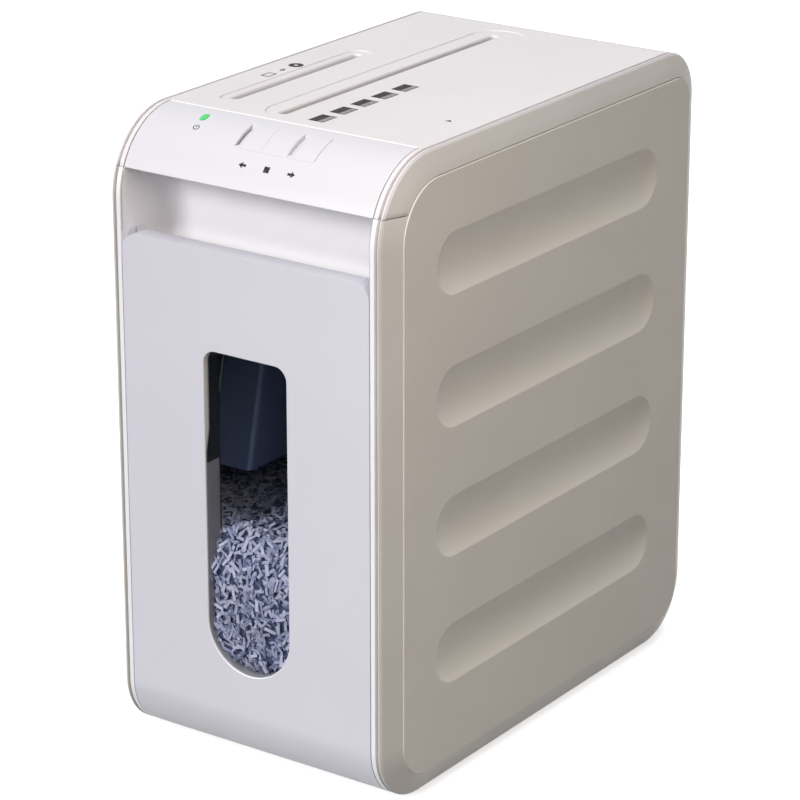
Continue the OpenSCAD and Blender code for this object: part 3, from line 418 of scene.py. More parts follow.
@dataclass(frozen=True)
class PressedPowder(Finish):
    """Sintered or pressed powder, such as bronze bushes, steel gears and ferrite: fine open pores."""

    pore_mm: float = 0.5
    shade: str = "#404040"

    def detail(self, tree: Tree, shader: Node) -> None:
        """Add the pores as dark points and as dents.

        Args:
            tree: the material's nodes.
            shader: its shader.
        """
        pore = self.grains(tree, self.pore_mm, 3.0)
        rough = (pore, self.roughness + 0.1, self.roughness - 0.05)
        self.wear(tree, shader, (pore, self.shade, self.colour), rough, (pore, 0.02))


@dataclass(frozen=True)
class WoundCopper(Finish):
    """Enamelled copper wire wound on steel sheets: parallel turns, 0.9 mm apart."""

    def detail(self, tree: Tree, shader: Node) -> None:
        """Add the turns of the wire along Y.

        Args:
            tree: the material's nodes.
            shader: its shader.
        """
        bands = {"wave_type": "BANDS", "bands_direction": "DIAGONAL"}
        given = {"Vector": self.place(tree), "Scale": 0.35, "Distortion": 0.6}
        turns = add(tree, "ShaderNodeTexWave", bands, given).outputs["Fac"]
        self.wear(tree, shader, (turns, "#6B3A1E", self.colour), relief=(turns, 0.15))


@dataclass(frozen=True)
class EtchedBoard(Finish):
    """Glass-epoxy circuit board: copper tracks under green solder mask, seen as lighter lines."""

    cell_mm: float = 7.62

    def detail(self, tree: Tree, shader: Node) -> None:
        """Add straight tracks that fade in and out from cell to cell of a grid.

        Args:
            tree: the material's nodes.
            shader: its shader.
        """
        place = self.place(tree)
        squares = {"distance": "CHEBYCHEV", "feature": "F1"}
        grid = {"Vector": place, "Scale": 1 / self.cell_mm, "Randomness": 0.0}
        cells = add(tree, "ShaderNodeTexVoronoi", squares, grid)
        pick = add(tree, "ShaderNodeSeparateColor", inputs={0: cells.outputs["Color"]})
        bands = {"wave_type": "BANDS", "bands_direction": "X"}
        track = add(tree, "ShaderNodeTexWave", bands, {"Vector": place, "Scale": 0.124})
        both = {0: track.outputs["Fac"], 1: pick.outputs[0]}
        lines = add(tree, "ShaderNodeMath", {"operation": "MULTIPLY"}, both).outputs[0]
        self.wear(tree, shader, (lines, self.colour, "#3E8A57"), relief=(lines, 0.04))


@dataclass(frozen=True)
class LightPipe(Finish):
    """Clear green light pipe over a lit diode: it glows softly through frosted facets."""

    glow: float = 1.0

    def detail(self, tree: Tree, shader: Node) -> None:
        """Add the glow and the frosted facets of the pipe.

        Args:
            tree: the material's nodes.
            shader: its shader.
        """
        shader.inputs["Emission Color"].default_value = linear("#5CF08A")
        shader.inputs["Emission Strength"].default_value = self.glow
        grain = self.grains(tree, 0.8)
        self.wear(tree, shader, (grain, self.colour, "#58E07C"), relief=(grain, 0.03))


@dataclass(frozen=True)
class PrintedInk(Finish):
    """Pad-printed ink: thin and matt, with pinholes where the pad lifted."""

    shade: str = "#4A4A4A"

    def detail(self, tree: Tree, shader: Node) -> None:
        """Add the thin places of the print.

        Args:
            tree: the material's nodes.
            shader: its shader.
        """
        shader.inputs["Specular IOR Level"].default_value = 0.1
        thin = (self.grains(tree, 1.2, 4.0), self.colour, self.shade)
        self.wear(tree, shader, thin, relief=(self.grains(tree, 0.3), 0.004))


# The finish of each material slot of the record
FINISHES: dict[str, Finish] = {
    # Outer mouldings: the finer the mould, the sharper the light on them; grains are drawn a little
    # coarser than real ones so that they show
    "side_plastic": MouldedPlastic(
        "ABS warm grey, spark-eroded mould", "#E1DCD3", 0.48, shade="#DED8CF", grain_mm=0.8, grain_depth=0.014
    ),
    "frame_plastic": MouldedPlastic(
        "ABS light grey, fine mould", "#F9FBFF", 0.42, shade="#F7F8FD", grain_mm=0.6
    ),
    "cover_plastic": MouldedPlastic(
        "ABS white, fine mould", "#E8E4E6", 0.4, shade="#E5E1E3", grain_mm=0.6, grain_depth=0.008
    ),
    "strip_plastic": MouldedPlastic(
        "ABS bright white, polished mould", "#DAD9DF", 0.3, shade="#D9D8DE", grain_depth=0.0, gloss=0.4
    ),
    "front_plastic": MouldedPlastic(
        "ABS pearl grey, satin mould", "#DADAE5", 0.4, shade="#D8D8E3", grain_mm=0.6, grain_depth=0.008
    ),
    # Inner mouldings: duller, with a coarser grain
    "inner_plastic": MouldedPlastic(
        "polypropylene grey, moulded", "#C9C8CE", 0.55, shade="#BDBCC4", grain_mm=1.0
    ),
    "dark_plastic": MouldedPlastic(
        "polypropylene black, moulded", "#202226", 0.5, shade="#1A1C20", grain_mm=1.0
    ),
    # The box is drawn much lighter than navy: painted light, so that it shows through the smoked pane
    "navy_plastic": MouldedPlastic(
        "polypropylene navy, painted light", "#8096C8", 0.35, shade="#788EC0", grain_mm=1.0
    ),
    "window_smoke": SmokedSheet("polycarbonate smoke, moulded", "#0A1020", 0.08, ior=1.58),
    "led_green": LightPipe("acrylic green, lit", "#2DB860", 0.25, glow=0.06),
    "rubber_black": MouldedPlastic(
        "rubber black, moulded", "#1B1B1C", 0.85, shade="#161617", grain_mm=0.8, grain_depth=0.03
    ),
    # Metals of the mechanism: bright zinc, dark oiled cutters, dull porous gears and bushes
    "screw_steel": TurnedSteel("steel, zinc plated", "#C2C4C8", 0.3, 1.0),
    "plate_steel": RolledSteel("steel sheet, galvanised", "#BEC2C8", 0.38, 1.0),
    "cutter_steel": TurnedSteel("steel, hardened and oiled", "#8F9196", 0.3, 1.0),
    "gear_steel": PressedPowder("steel, sintered", "#8C8E92", 0.42, 1.0, shade="#54565A"),
    "gear_nylon": MouldedPlastic("nylon, glass filled", "#DDD6C2", 0.5, shade="#D3CBB5", grain_mm=0.9),
    "bush_bronze": PressedPowder("bronze, sintered", "#C8A05F", 0.42, 1.0, shade="#7A5C2E"),
    "rotor_copper": WoundCopper("copper wire, enamelled", "#C07A45", 0.35, 0.8),
    "magnet_grey": PressedPowder("ferrite, pressed", "#4A4B50", 0.55, shade="#2C2D31"),
    "board_green": EtchedBoard("glass epoxy, green mask", "#1F5E38", 0.35),
    "paper_shreds": CutPaper("paper, cross cut", "#CDD1EC", 0.9),
}
# Finishes of single pieces, near to their slot's; most of them are painted light, shade or highlight, as said
# over each
# A darker copy of the side's and the cover's plastic for the border: painted shade
BORDER_PAINTED_SHADE = MouldedPlastic("ABS light warm grey, painted shade on the border", "#D9D6D1", 0.42, shade="#D6D0CA")
# A whiter copy of the front's plastic for the recess liner: painted light, so that the trough under the strip
# shows bright
RECESS_PAINTED_LIGHT = MouldedPlastic("ABS white, painted light in the recess", "#FBFAFD", 0.38, shade="#F9F8FC", grain_mm=0.6)
# Paper for the heap's core, which has no tint and so takes the ramp's darkest shade: painted shade in the
# gaps between the strips
HEAP_PAINTED_SHADE = CutPaper("paper, cut, painted shade of the heap's gaps", "#757C92", 0.95)
# A whiter copy of the plastic for the strip's edge and the window's rim: painted highlight
EDGE_PAINTED_HIGHLIGHT = MouldedPlastic("ABS white, painted edge highlight", "#FBFBFC", 0.3, shade="#F9F9FA", grain_mm=1.0)
# Pale green for a thin strip down the scrap box's front edge: painted highlight
BOX_EDGE_PAINTED_HIGHLIGHT = MouldedPlastic(
    "pale green, painted highlight on the box's edge", "#C9E2CC", 0.4, shade="#C2DCC6", grain_mm=1.0
)
# Mid grey for the sleeve's lower part, standing for the pale wall in shade: painted shade
SLEEVE_PAINTED_SHADE = MouldedPlastic("ABS mid grey, painted shade of the opening's wall", "#9B9CA3", 0.5, shade="#909198", grain_mm=1.0)
INK_BLACK = PrintedInk("ink black, pad printed", "#17181A", 0.6)
INK_GREY = PrintedInk("ink grey, pad printed", "#8E8C8C", 0.6, shade="#A8A6A6")


# ------------------------------------------------------------------ mesh helpers


class Shape:
    """A mesh under construction, in millimetres."""

    def __init__(self) -> None:
        """Start with an empty mesh."""
        self.bm = bmesh.new()

    def row(self, points: Sequence[Point3]) -> Row:
        """Add points and return them as one row."""
        return [self.bm.verts.new(p) for p in points]

    def level(self, line: Sequence[Point2], z: float) -> Row:
        """Add a line given in X and Y as a row at one level."""
        return self.row([(x, y, z) for x, y in line])

    def section(self, x: float, line: Sequence[Point2]) -> Row:
        """Add a line given in Y and Z as a row at one X."""
        return self.row([(x, y, z) for y, z in line])

    def skin(self, a: Row, b: Row, closed: bool = True) -> None:
        """Join two rows of equal length with quads.

        Args:
            a: the first row.
            b: the second row.
            closed: whether the last points join the first ones.
        """
        n = len(a)
        for i in range(n if closed else n - 1):
            j = (i + 1) % n
            self.bm.faces.new((a[i], a[j], b[j], b[i]))

    def loft(self, rows: Sequence[Row], closed: bool = True) -> None:
        """Join a series of rows, one to the next."""
        for a, b in zip(rows, rows[1:]):
            self.skin(a, b, closed)

    def fill(self, *loops: Row) -> None:
        """Fill a flat outline, less the holes that the further loops make.

        Args:
            loops: the outline and its holes.
        """
        edges = []
        for loop in loops:
            for v, w in zip(loop, [*loop[1:], loop[0]]):
                edges.append(self.bm.edges.get((v, w)) or self.bm.edges.new((v, w)))
        bmesh.ops.triangle_fill(self.bm, use_beauty=True, edges=edges)

    def move(self, rule: Callable[[Vector], Vector]) -> None:
        """Move every vertex by a rule."""
        for v in self.bm.verts:
            v.co = rule(v.co)

    def reverse(self) -> None:
        """Turn every face round."""
        bmesh.ops.reverse_faces(self.bm, faces=self.bm.faces)

    def mirror_x(self) -> None:
        """Turn a right-hand shape into the left-hand one, its faces still outwards."""
        self.move(lambda p: Vector((-p.x, p.y, p.z)))
        self.reverse()

    def settle(self) -> "Shape":
        """Merge doubles and turn the faces outwards.

        Returns:
            The shape itself.
        """
        bmesh.ops.remove_doubles(self.bm, verts=self.bm.verts, dist=0.002)
        bmesh.ops.dissolve_degenerate(self.bm, dist=0.001, edges=self.bm.edges)
        bmesh.ops.recalc_face_normals(self.bm, faces=self.bm.faces)
        if all(e.is_manifold for e in self.bm.edges) and self.bm.calc_volume(signed=True) < 0:
            self.reverse()
        return self

    def face_up(self) -> None:
        """Turn an open sheet so that its highest level face looks up."""
        flat = [f for f in self.bm.faces if abs(f.normal.z) > 0.5]
        if flat and max(flat, key=lambda f: f.calc_center_median().z).normal.z < 0:
            self.reverse()

    def absorb(self, other: "Shape") -> None:
        """Take in another shape's faces without joining them to its own.

        Args:
            other: the shape, which is used up.
        """
        twin = {v: self.bm.verts.new(v.co) for v in other.bm.verts}
        for f in other.bm.faces:
            self.bm.faces.new([twin[v] for v in f.verts])
        other.bm.free()

    def block(self, low: Point3, high: Point3, broken: float = 0.4) -> None:
        """Add a closed box with broken edges.

        Args:
            low: its lowest corner.
            high: its highest corner.
            broken: width of the broken edges.
        """
        made = bmesh.ops.create_cube(self.bm, size=1.0)["verts"]
        for v in made:
            v.co = into_box(v.co, low, high)
        edges = list({e for v in made for e in v.link_edges})
        bmesh.ops.bevel(self.bm, geom=edges, offset=broken, segments=2, affect="EDGES", profile=0.5)

    def cut(self, axis: int, pitch: float) -> None:
        """Cut the faces along one axis so that a flat shape can be bent.

        Args:
            axis: 0 to 2 for X to Z.
            pitch: distance between the cuts.
        """
        values = [v.co[axis] for v in self.bm.verts]
        normal = Vector([1.0 if i == axis else 0.0 for i in range(3)])
        at, last = min(values) + pitch, max(values) - 0.3 * pitch
        while at < last:
            geom = self.bm.verts[:] + self.bm.edges[:] + self.bm.faces[:]
            bmesh.ops.bisect_plane(self.bm, geom=geom, plane_co=normal * at, plane_no=normal, dist=0.0005)
            at += pitch

    def finish(
        self,
        name: str,
        finish: Finish,
        body: str,
        slot: str,
        *stands_for: str,
        sharp: float = 38,
        wall: float = 0.0,
        settled: bool = False,
        weighted: bool = True,
    ) -> Piece:
        """Close the mesh, scale it to metres and hang it on its body.

        Args:
            name: the piece's name.
            finish: its surface finish.
            body: the moving body that carries it.
            slot: the record's material slot.
            stands_for: CAD nodes that the piece replaces.
            sharp: angle in degrees above which an edge stays sharp.
            wall: thickness given inwards to an open sheet, in millimetres.
            settled: whether doubles are merged and faces turned already.
            weighted: whether large faces lead the shading.

        Returns:
            The finished piece.
        """
        if not settled:
            self.settle()
        if wall:
            self.face_up()
        self.move(lambda p: p * MM)
        mesh = bpy.data.meshes.new(name)
        self.bm.to_mesh(mesh)
        self.bm.free()
        mesh.shade_smooth()
        mesh.set_sharp_from_angle(angle=math.radians(sharp))
        made = link(name, mesh)
        mesh.materials.append(finish.material())
        if wall:
            thicken(made, wall, -1.0)
        if weighted:
            made.modifiers.new("flat faces", "WEIGHTED_NORMAL").keep_sharp = True
        hang(made, body, slot, *stands_for)
        return made


def into_box(at: Vector, low: Point3, high: Point3) -> Vector:
    """Carry a point of a unit cube round the origin to the same place in a box."""
    return Vector([low[i] + (at[i] + 0.5) * (high[i] - low[i]) for i in range(3)])


def thicken(piece: Piece, wall: float, offset: float) -> None:
    """Give an open sheet its wall, on the side of its faces that the offset's sign says.

    Args:
        piece: the sheet.
        wall: thickness in millimetres.
        offset: 1 to the side that the faces look to, -1 to the other.
    """
    thick = piece.modifiers.new("wall", "SOLIDIFY")
    thick.thickness, thick.offset = wall * MM, offset


def hang(piece: Piece, body: str, slot: str, *stands_for: str) -> None:
    """Hang a piece on its body and hide the CAD nodes that it stands for.

    Args:
        piece: the finished piece.
        body: the moving body that carries it.
        slot: the record's material slot; not used.
        stands_for: CAD nodes that it replaces.
    """
    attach(piece, body)
    if stands_for:
        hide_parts(*stands_for)
    log.info("%s on %s, %d faces", piece.name, body, len(piece.data.polygons))


def keep_result(piece: Piece) -> bpy.types.Mesh:
    """Make what a piece's modifiers give its plain mesh.

    Args:
        piece: the object, left without modifiers.

    Returns:
        The new mesh.
    """
    ready = piece.evaluated_get(bpy.context.evaluated_depsgraph_get())
    old, made = piece.data, bpy.data.meshes.new_from_object(ready)
    piece.modifiers.clear()
    piece.data = made
    bpy.data.meshes.remove(old)
    made.name = piece.name
    return made


def bake(piece: Piece, tree: Tree, values: dict[str, object]) -> None:
    """Run a geometry node tree on a piece and keep the result as its plain mesh.

    Args:
        piece: the object that gets the tree's result.
        tree: the node tree.
        values: its inputs by name.
    """
    run = piece.modifiers.new(tree.name, "NODES")
    run.node_group = tree
    for socket in tree.interface.items_tree:
        if socket.item_type == "SOCKET" and socket.in_out == "INPUT" and socket.name in values:
            run[socket.identifier] = values[socket.name]
    keep_result(piece)


def ease(t: float) -> float:
    """Return a soft step that rises from 0 to 1 as t does, and stays there beyond its ends."""
    t = min(max(t, 0.0), 1.0)
    return t * t * (3 - 2 * t)


def arc(centre: Point2, r: float, a0: float, a1: float, steps: int) -> list[Point2]:
    """Return points on an arc, angles in degrees, both ends kept."""
    turn = [math.radians(a0 + (a1 - a0) * i / steps) for i in range(steps + 1)]
    return [(centre[0] + r * math.cos(t), centre[1] + r * math.sin(t)) for t in turn]


def oval(centre: Point2, length: float, width: float, grow: float = 0.0, steps: int = 20) -> list[Point2]:
    """Return an oval with round ends, its length along the second axis.

    Args:
        centre: its middle.
        length: its full length.
        width: its full width.
        grow: how much further out its edge lies.
        steps: parts of each round end.

    Returns:
        Its points.
    """
    x, y = centre
    r, half = width / 2 + grow, (length - width) / 2
    return arc((x, y + half), r, 0, 180, steps) + arc((x, y - half), r, 180, 360, steps)


def rounded(low: Point2, high: Point2, corner: float, grow: float = 0.0, steps: int = 5) -> list[Point2]:
    """Return a rectangle with round corners.

    Args:
        low: its lowest corner.
        high: its highest corner.
        corner: radius of its corners.
        grow: how much further out its edges lie.
        steps: parts of each round corner.

    Returns:
        Its points.
    """
    inset = corner - grow
    x0, y0, x1, y1 = low[0] + inset, low[1] + inset, high[0] - inset, high[1] - inset
    line = []
    for turn, centre in enumerate(((x1, y0), (x1, y1), (x0, y1), (x0, y0))):
        line += arc(centre, corner, 90 * turn - 90, 90 * turn, steps)
    return line


# ------------------------------------------------------------------ body outline


@dataclass(frozen=True)
class SideOutline:
    """Outline of the body seen from the side, in Y and Z, with the curve that its control strip follows."""

    half_d: float
    base: float
    top: float
    front_top: float = 50.0
    rear_top: float = 31.0
    rear_bottom: float = 40.0
    front_bottom: float = 39.0
    steps: int = 16

    def front(self) -> Point2:
        """Return the middle of the upper front curve."""
        return (self.front_top - self.half_d, self.top - self.front_top)

    def start(self, r: float, inset: float, level: float) -> float:
        """Return the angle in degrees at which an upper curve reaches a level.

        Args:
            r: the curve's radius.
            inset: how far inside the outline.
            level: the level in Z.

        Returns:
            The angle above level.
        """
        return math.degrees(math.asin(max(min((level - self.top + r) / (r - inset), 1), 0)))

    def lower(self, inset: float, level: float) -> list[Point2]:
        """Return the open line from the front at a level, round the bottom, to the rear at that level.

        Args:
            inset: how far inside the outline.
            level: the level in Z.

        Returns:
            Points in Y and Z.
        """
        y, fb, rb = self.half_d, self.front_bottom, self.rear_bottom
        start = self.start(self.front_top, inset, level)
        line = arc(self.front(), self.front_top - inset, 180 - start, 180, 6)
        line += arc((-y + fb, self.base + fb), fb - inset, 180, 270, self.steps)
        line += arc((y - rb, self.base + rb), rb - inset, 270, 360, self.steps)
        return [*line, (y - inset, level)]

    def upper(self, inset: float, level: float) -> list[Point2]:
        """Return the open line from the rear at a level, over the top, to the front at that level.

        Args:
            inset: how far inside the outline.
            level: the level in Z.

        Returns:
            Points in Y and Z.
        """
        r = self.rear_top
        line = arc((self.half_d - r, self.top - r), r - inset, self.start(r, inset, level), 90, self.steps)
        start = self.start(self.front_top, inset, level)
        return line + arc(self.front(), self.front_top - inset, 90, 180 - start, self.steps)

    def whole(self, inset: float, level: float) -> list[Point2]:
        """Return the closed outline, starting at the front at a level and going down."""
        return self.lower(inset, level) + self.upper(inset, level)[1:-1]

    def along(self, slope: float) -> float:
        """Return the distance along the upper front curve at a slope in degrees."""
        return math.radians(slope) * self.front_top

    def bend(self, p: Vector) -> Vector:
        """Lay a flat point (across, along, height) on the upper front curve."""
        a, r = p.y / self.front_top, self.front_top + p.z
        return Vector((p.x, self.front()[0] - r * math.cos(a), self.front()[1] + r * math.sin(a)))


# ------------------------------------------------------------------ sides


@dataclass(frozen=True)
class Trim:
    """Cross-section of the side trim, from the frame's band over the shadow groove and the bead.

    The pieces above and below the seam stop a gap short of it on either side.
    """

    band_in: float = 90.6
    band: float = 93.6
    bead_in: float = 95.4
    bead_r: float = 0.7
    shadow: float = 3.0
    foot_x: float = 103.3
    border: float = 15.0
    gap: float = 0.3
    slope_from: Point2 = (0.6, 1.15)

    def slope(self, inset: float) -> float:
        """Return X on the sloping border at an inset."""
        start, foot = self.bead_in + 2 * self.bead_r + self.slope_from[0], self.slope_from[1]
        return start + (self.foot_x - start) * (inset - foot) / (self.border - foot)

    def line(self, end: float) -> list[Point2]:
        """Return the section from the groove's floor over the bead to the border's end.

        Args:
            end: inset at which the border ends.

        Returns:
            Points in X and inset.
        """
        r, x = self.bead_r, self.bead_in + self.bead_r
        bead = [(x - r * math.cos(a), r - r * math.sin(a)) for a in (math.pi * i / 8 for i in range(8))]
        valley = [(x + r + 0.1, r + 0.05), (x + r + 0.35, 0.98)]
        slope = [(self.slope(i), i) for i in (1.5, 2.6, 8.0, end)]
        return [(self.bead_in, self.shadow), *bead, *valley, *slope]

    def edge(self) -> list[Point2]:
        """Return the rounded outer edge of the band, in X and inset."""
        return [(self.band - 0.35, 0.0), (self.band - 0.1, 0.1), (self.band, 0.35)]


@dataclass
class SidePanels:
    """The two bulged side plates: a bead, a sloping border and a raised flat middle with scooped grooves."""

    outline: SideOutline
    trim: Trim
    face_x: float
    seam: float
    step: float = 0.42
    groove_half: float = 102.8
    groove_reach: float = 19.2
    groove_deep: float = 5.6
    groove_y: float = -2.5
    levels: tuple[float, ...] = (333.4, 251.4, 169.4, 87.4)
    lip: float = 1.6
    soft: float = 0.2
    arc_steps: int = 24

    def depth(self, rho: float) -> float:
        """Return how deep a groove is at a distance from its middle line, with a softened edge.

        Args:
            rho: the distance.

        Returns:
            The depth below the flat middle.
        """
        bar = (self.groove_reach**2 + self.groove_deep**2) / (2 * self.groove_deep)

        def blend(at: float) -> float:
            """Return the scoop's depth, eased into the flat where it ends."""
            raw = math.sqrt(max(bar * bar - at * at, 0)) - (bar - self.groove_deep)
            return (raw + math.sqrt(raw * raw + self.soft * self.soft)) / 2

        return max(blend(rho) - blend(self.groove_reach + self.lip), 0.0)

    def groove(self, shape: Shape, level: float) -> Row:
        """Sink one groove into the flat middle.

        Args:
            shape: the plate's mesh.
            level: Z of the groove's middle line.

        Returns:
            The groove's outer row, which lies in the flat middle.
        """
        reach, inner = self.groove_reach, self.groove_reach - 1.0
        rhos = [reach + off for off in (self.lip, 1.0, 0.6, 0.3, 0.1, -0.1, -0.3, -0.6, -1.0)]
        rhos += [inner - inner * i / 12 for i in range(1, 13)]
        rows = []
        for rho in rhos:
            ends = arc((self.groove_y + self.groove_half, level), rho, -90, 90, self.arc_steps)
            ends += arc((self.groove_y - self.groove_half, level), rho, 90, 270, self.arc_steps)
            rows.append(shape.section(self.face_x - self.depth(rho), ends))
        shape.loft(rows)
        return rows[0]

    def middle(self) -> Shape:
        """Build the raised middle as a closed slab with its grooves.

        Returns:
            The slab.
        """
        shape = Shape()
        face, step, border = self.face_x, self.step, self.trim.border
        steps = [(self.trim.band + 0.1, border), (face - step, border)]
        for t in (0.3, 0.6, 0.9, 1.2, math.pi / 2):
            steps.append((face - step * (1 - math.sin(t)), border + step * (1 - math.cos(t))))
        steps.append((face, border + step + 0.8))
        rows = [shape.section(x, self.outline.whole(inset, self.seam)) for x, inset in steps]
        shape.loft(rows)
        shape.fill(rows[0])
        shape.fill(rows[-1], *[self.groove(shape, level) for level in self.levels])
        return shape.settle()

    def border(self) -> Shape:
        """Build the bead and the sloping border below the seam as a closed bar.

        Returns:
            The bar.
        """
        shape = Shape()
        back, end = self.trim.band + 0.1, self.trim.border - 0.02
        line = [(back, end), (back, self.trim.shadow), *self.trim.line(end)]
        rows = [shape.section(x, self.outline.lower(i, self.seam - self.trim.gap)) for x, i in line]
        shape.loft(rows + [rows[0]], closed=False)
        for tip in (0, -1):
            shape.fill([row[tip] for row in rows])
        return shape.settle()

    def build(self) -> None:
        """Make both panels."""
        for side in ("right", "left"):
            for name, made, finish, stands_for in (
                ("plate", self.middle, FINISHES["side_plastic"], (f"{side}_side_panel",)),
                # The border takes a darker copy of the side's plastic: painted shade
                ("border", self.border, BORDER_PAINTED_SHADE, ()),
            ):
                shape = made()
                if side == "left":
                    shape.mirror_x()
                given = (f"{side}_{name}", finish, "case", "side_plastic", *stands_for)
                shape.finish(*given, sharp=26, settled=True)


@dataclass
class SideFrames:
    """The flat frames behind the side plates: a band with rounded edges, a ledge and screw bosses.

    The ledge carries the head tray, and the bosses take the screws of the rear panel and the base plate.
    """

    outline: SideOutline
    trim: Trim
    seam: float
    ledge_z: float
    ledge_y: Point2
    boss: float = 8.0
    boss_in: float = 3.0
    boss_zs: tuple[float, ...] = (58.0, 164.0, 270.0)
    boss_ys: tuple[float, ...] = (-104.5, 104.5)

    def plate(self) -> Shape:
        """Build one frame's plate with its rounded rim.

        Returns:
            The plate.
        """
        shape = Shape()
        a = self.trim.band_in
        line = [(a, 0.35), (a + 0.1, 0.1), (a + 0.35, 0), *self.trim.edge()]
        rows = [shape.section(x, self.outline.lower(i, self.seam - self.trim.gap)) for x, i in line]
        shape.loft(rows)
        shape.fill(rows[0])
        shape.fill(rows[-1])
        return shape.settle()

    def build(self) -> None:
        """Make both frames."""
        x, half = self.trim.band_in, self.boss / 2
        back, foot = self.outline.half_d - self.boss_in, self.outline.base + self.boss_in
        for side in ("right", "left"):
            shape, fit = self.plate(), Shape()
            fit.block((x - 4, self.ledge_y[0], self.ledge_z - 4), (x + 0.2, self.ledge_y[1], self.ledge_z))
            for z in self.boss_zs:
                fit.block((x - self.boss, back - self.boss - 1, z - half), (x + 0.2, back, z + half))
            for y in self.boss_ys:
                fit.block((x - self.boss, y - half, foot), (x + 0.2, y + half, foot + self.boss))
            shape.absorb(fit)
            if side == "left":
                shape.mirror_x()
            given = (f"{side}_band", FINISHES["frame_plastic"], "case", "frame_plastic", f"{side}_side_frame")
            shape.finish(*given, sharp=40, settled=True)


# ------------------------------------------------------------------ lid


@dataclass(frozen=True)
class Entry:
    """One slot with its oval dish and its chute."""

    name: str
    node: str
    dish: Point2
    dish_len: float
    dish_wide: float
    slot: Point2
    slot_len: float
    slot_wide: float
    foot: float = 344.0
    lean: float = 0.0
    lead: float = 1.5
    wall: float = 2.0
    plate: float = 3.0

    def opening(self, grow: float) -> list[Point2]:
        """Return the dish's outline, made larger by grow."""
        return oval(self.dish, self.dish_len, self.dish_wide, grow)

    def build(self, top: float, deep: float) -> None:
        """Make the dish plate, the rounded lip and the chute as one closed moulding.

        Args:
            top: level of the lid.
            deep: how far the dish lies below it.
        """
        level, under = top - deep, top - self.plate
        shape = Shape()

        def ring(grow: float, z: float) -> Row:
            """Add the slot's outline at a level, shifted as the chute leans.

            Args:
                grow: how much larger it is.
                z: the level.

            Returns:
                The row.
            """
            shift = max(level - z, 0) * math.tan(math.radians(self.lean))
            middle = (self.slot[0] + shift, self.slot[1])
            return shape.level(oval(middle, self.slot_len, self.slot_wide, grow), z)

        rows = [ring(self.wall, self.foot), ring(self.wall, under)]
        steps = ((0.02, under), (0.02, level - 0.25), (0.1, level - 0.08), (0.3, level), (0.9, level))
        rows += [shape.level(self.opening(-shrink), z) for shrink, z in steps]
        turns = [math.pi / 2 * i / 7 for i in range(8)]
        rows += [ring(self.lead * (1 - math.sin(t)), level - self.lead * (1 - math.cos(t))) for t in turns]
        rows.append(ring(0, self.foot))
        shape.loft(rows + [rows[0]])
        shape.finish(self.name, FINISHES["cover_plastic"], "case", "cover_plastic", self.node, sharp=40)


@dataclass
class Lid:
    """The cover of the head: top with two oval openings, rounded rear, side bands, beads and borders."""

    outline: SideOutline
    trim: Trim
    seam: float
    dish_deep: float = 0.6
    wall: float = 1.2
    skirt: float = 2.9
    entries: tuple[Entry, ...] = (
        Entry("paper_dish", "paper_slot_guide", (-15.5, 8.5), 249, 36, (-19, 6), 228, 5.2),
        Entry("disc_dish", "disc_slot_guide", (-63, -33), 143, 17, (-63, -33), 129, 5.6, lean=9.85),
    )

    def flank(self, shape: Shape, side: int) -> Row:
        """Add one side's band, groove, bead and border, and the lip that turns down at the front.

        Args:
            shape: the lid's mesh.
            side: 1 for the right side, -1 for the left one.

        Returns:
            The side's innermost row, from the rear over the top to the front.
        """
        level, inner = self.seam + self.trim.gap, self.trim.band_in + 0.1
        line = [(inner + 0.3, 0.0), *self.trim.edge(), (self.trim.band, self.trim.shadow)]
        line += self.trim.line(self.trim.border - 0.6)
        rows = [shape.section(side * x, self.outline.upper(i, level)) for x, i in line]
        shape.loft(rows, closed=False)
        front = self.outline.steps + 1
        lip = [
            shape.section(side * (inner + dx), self.outline.upper(i, level)[front:])
            for dx, i in ((0.1, 0.1), (0.0, 0.3), (0.0, 3.0))
        ]
        shape.loft([rows[0][front:], *lip], closed=False)
        return rows[0]

    def build(self) -> None:
        """Make the cover and its two entry mouldings."""
        top, turn = self.outline.top, self.outline.steps
        shape = Shape()
        right, left = (self.flank(shape, side) for side in (1, -1))
        shape.loft([left[: turn + 1], right[: turn + 1]], closed=False)
        holes = []
        for entry in self.entries:
            # A small round edge leads down to the dish, and a skirt hides the gap round it
            steps = ((1.2, 0.0), (0.8, 0.04), (0.45, 0.14), (0.2, 0.32), (0.05, 0.6), (0.05, self.skirt))
            rows = [shape.level(entry.opening(grow), top - z) for grow, z in steps]
            shape.loft(rows)
            holes.append(rows[0])
        shape.fill([left[turn], right[turn], right[turn + 1], left[turn + 1]], *holes)
        # The front edge turns down beside the control strip
        y, ends = left[turn + 1].co.y, (left[0].co.x, right[0].co.x)
        rows = [[left[turn + 1], right[turn + 1]]]
        for dy, dz in ((0.15, 0.06), (0.25, 0.25), (0.25, self.skirt)):
            rows.append(shape.level([(x, y - dy) for x in ends], top - dz))
        shape.loft(rows, closed=False)
        given = ("lid", FINISHES["cover_plastic"], "case", "cover_plastic", "top_cover")
        lid = shape.finish(*given, sharp=32, wall=self.wall)
        # Faces past the bead take the border's darker plastic: painted shade
        lid.data.materials.append(BORDER_PAINTED_SHADE.material())
        edge = self.trim.slope(1.2) * MM
        for face in lid.data.polygons:
            face.material_index = int(abs(face.center.x) > edge)
        for entry in self.entries:
            entry.build(top, self.dish_deep)


# ------------------------------------------------------------------ control strip and keys


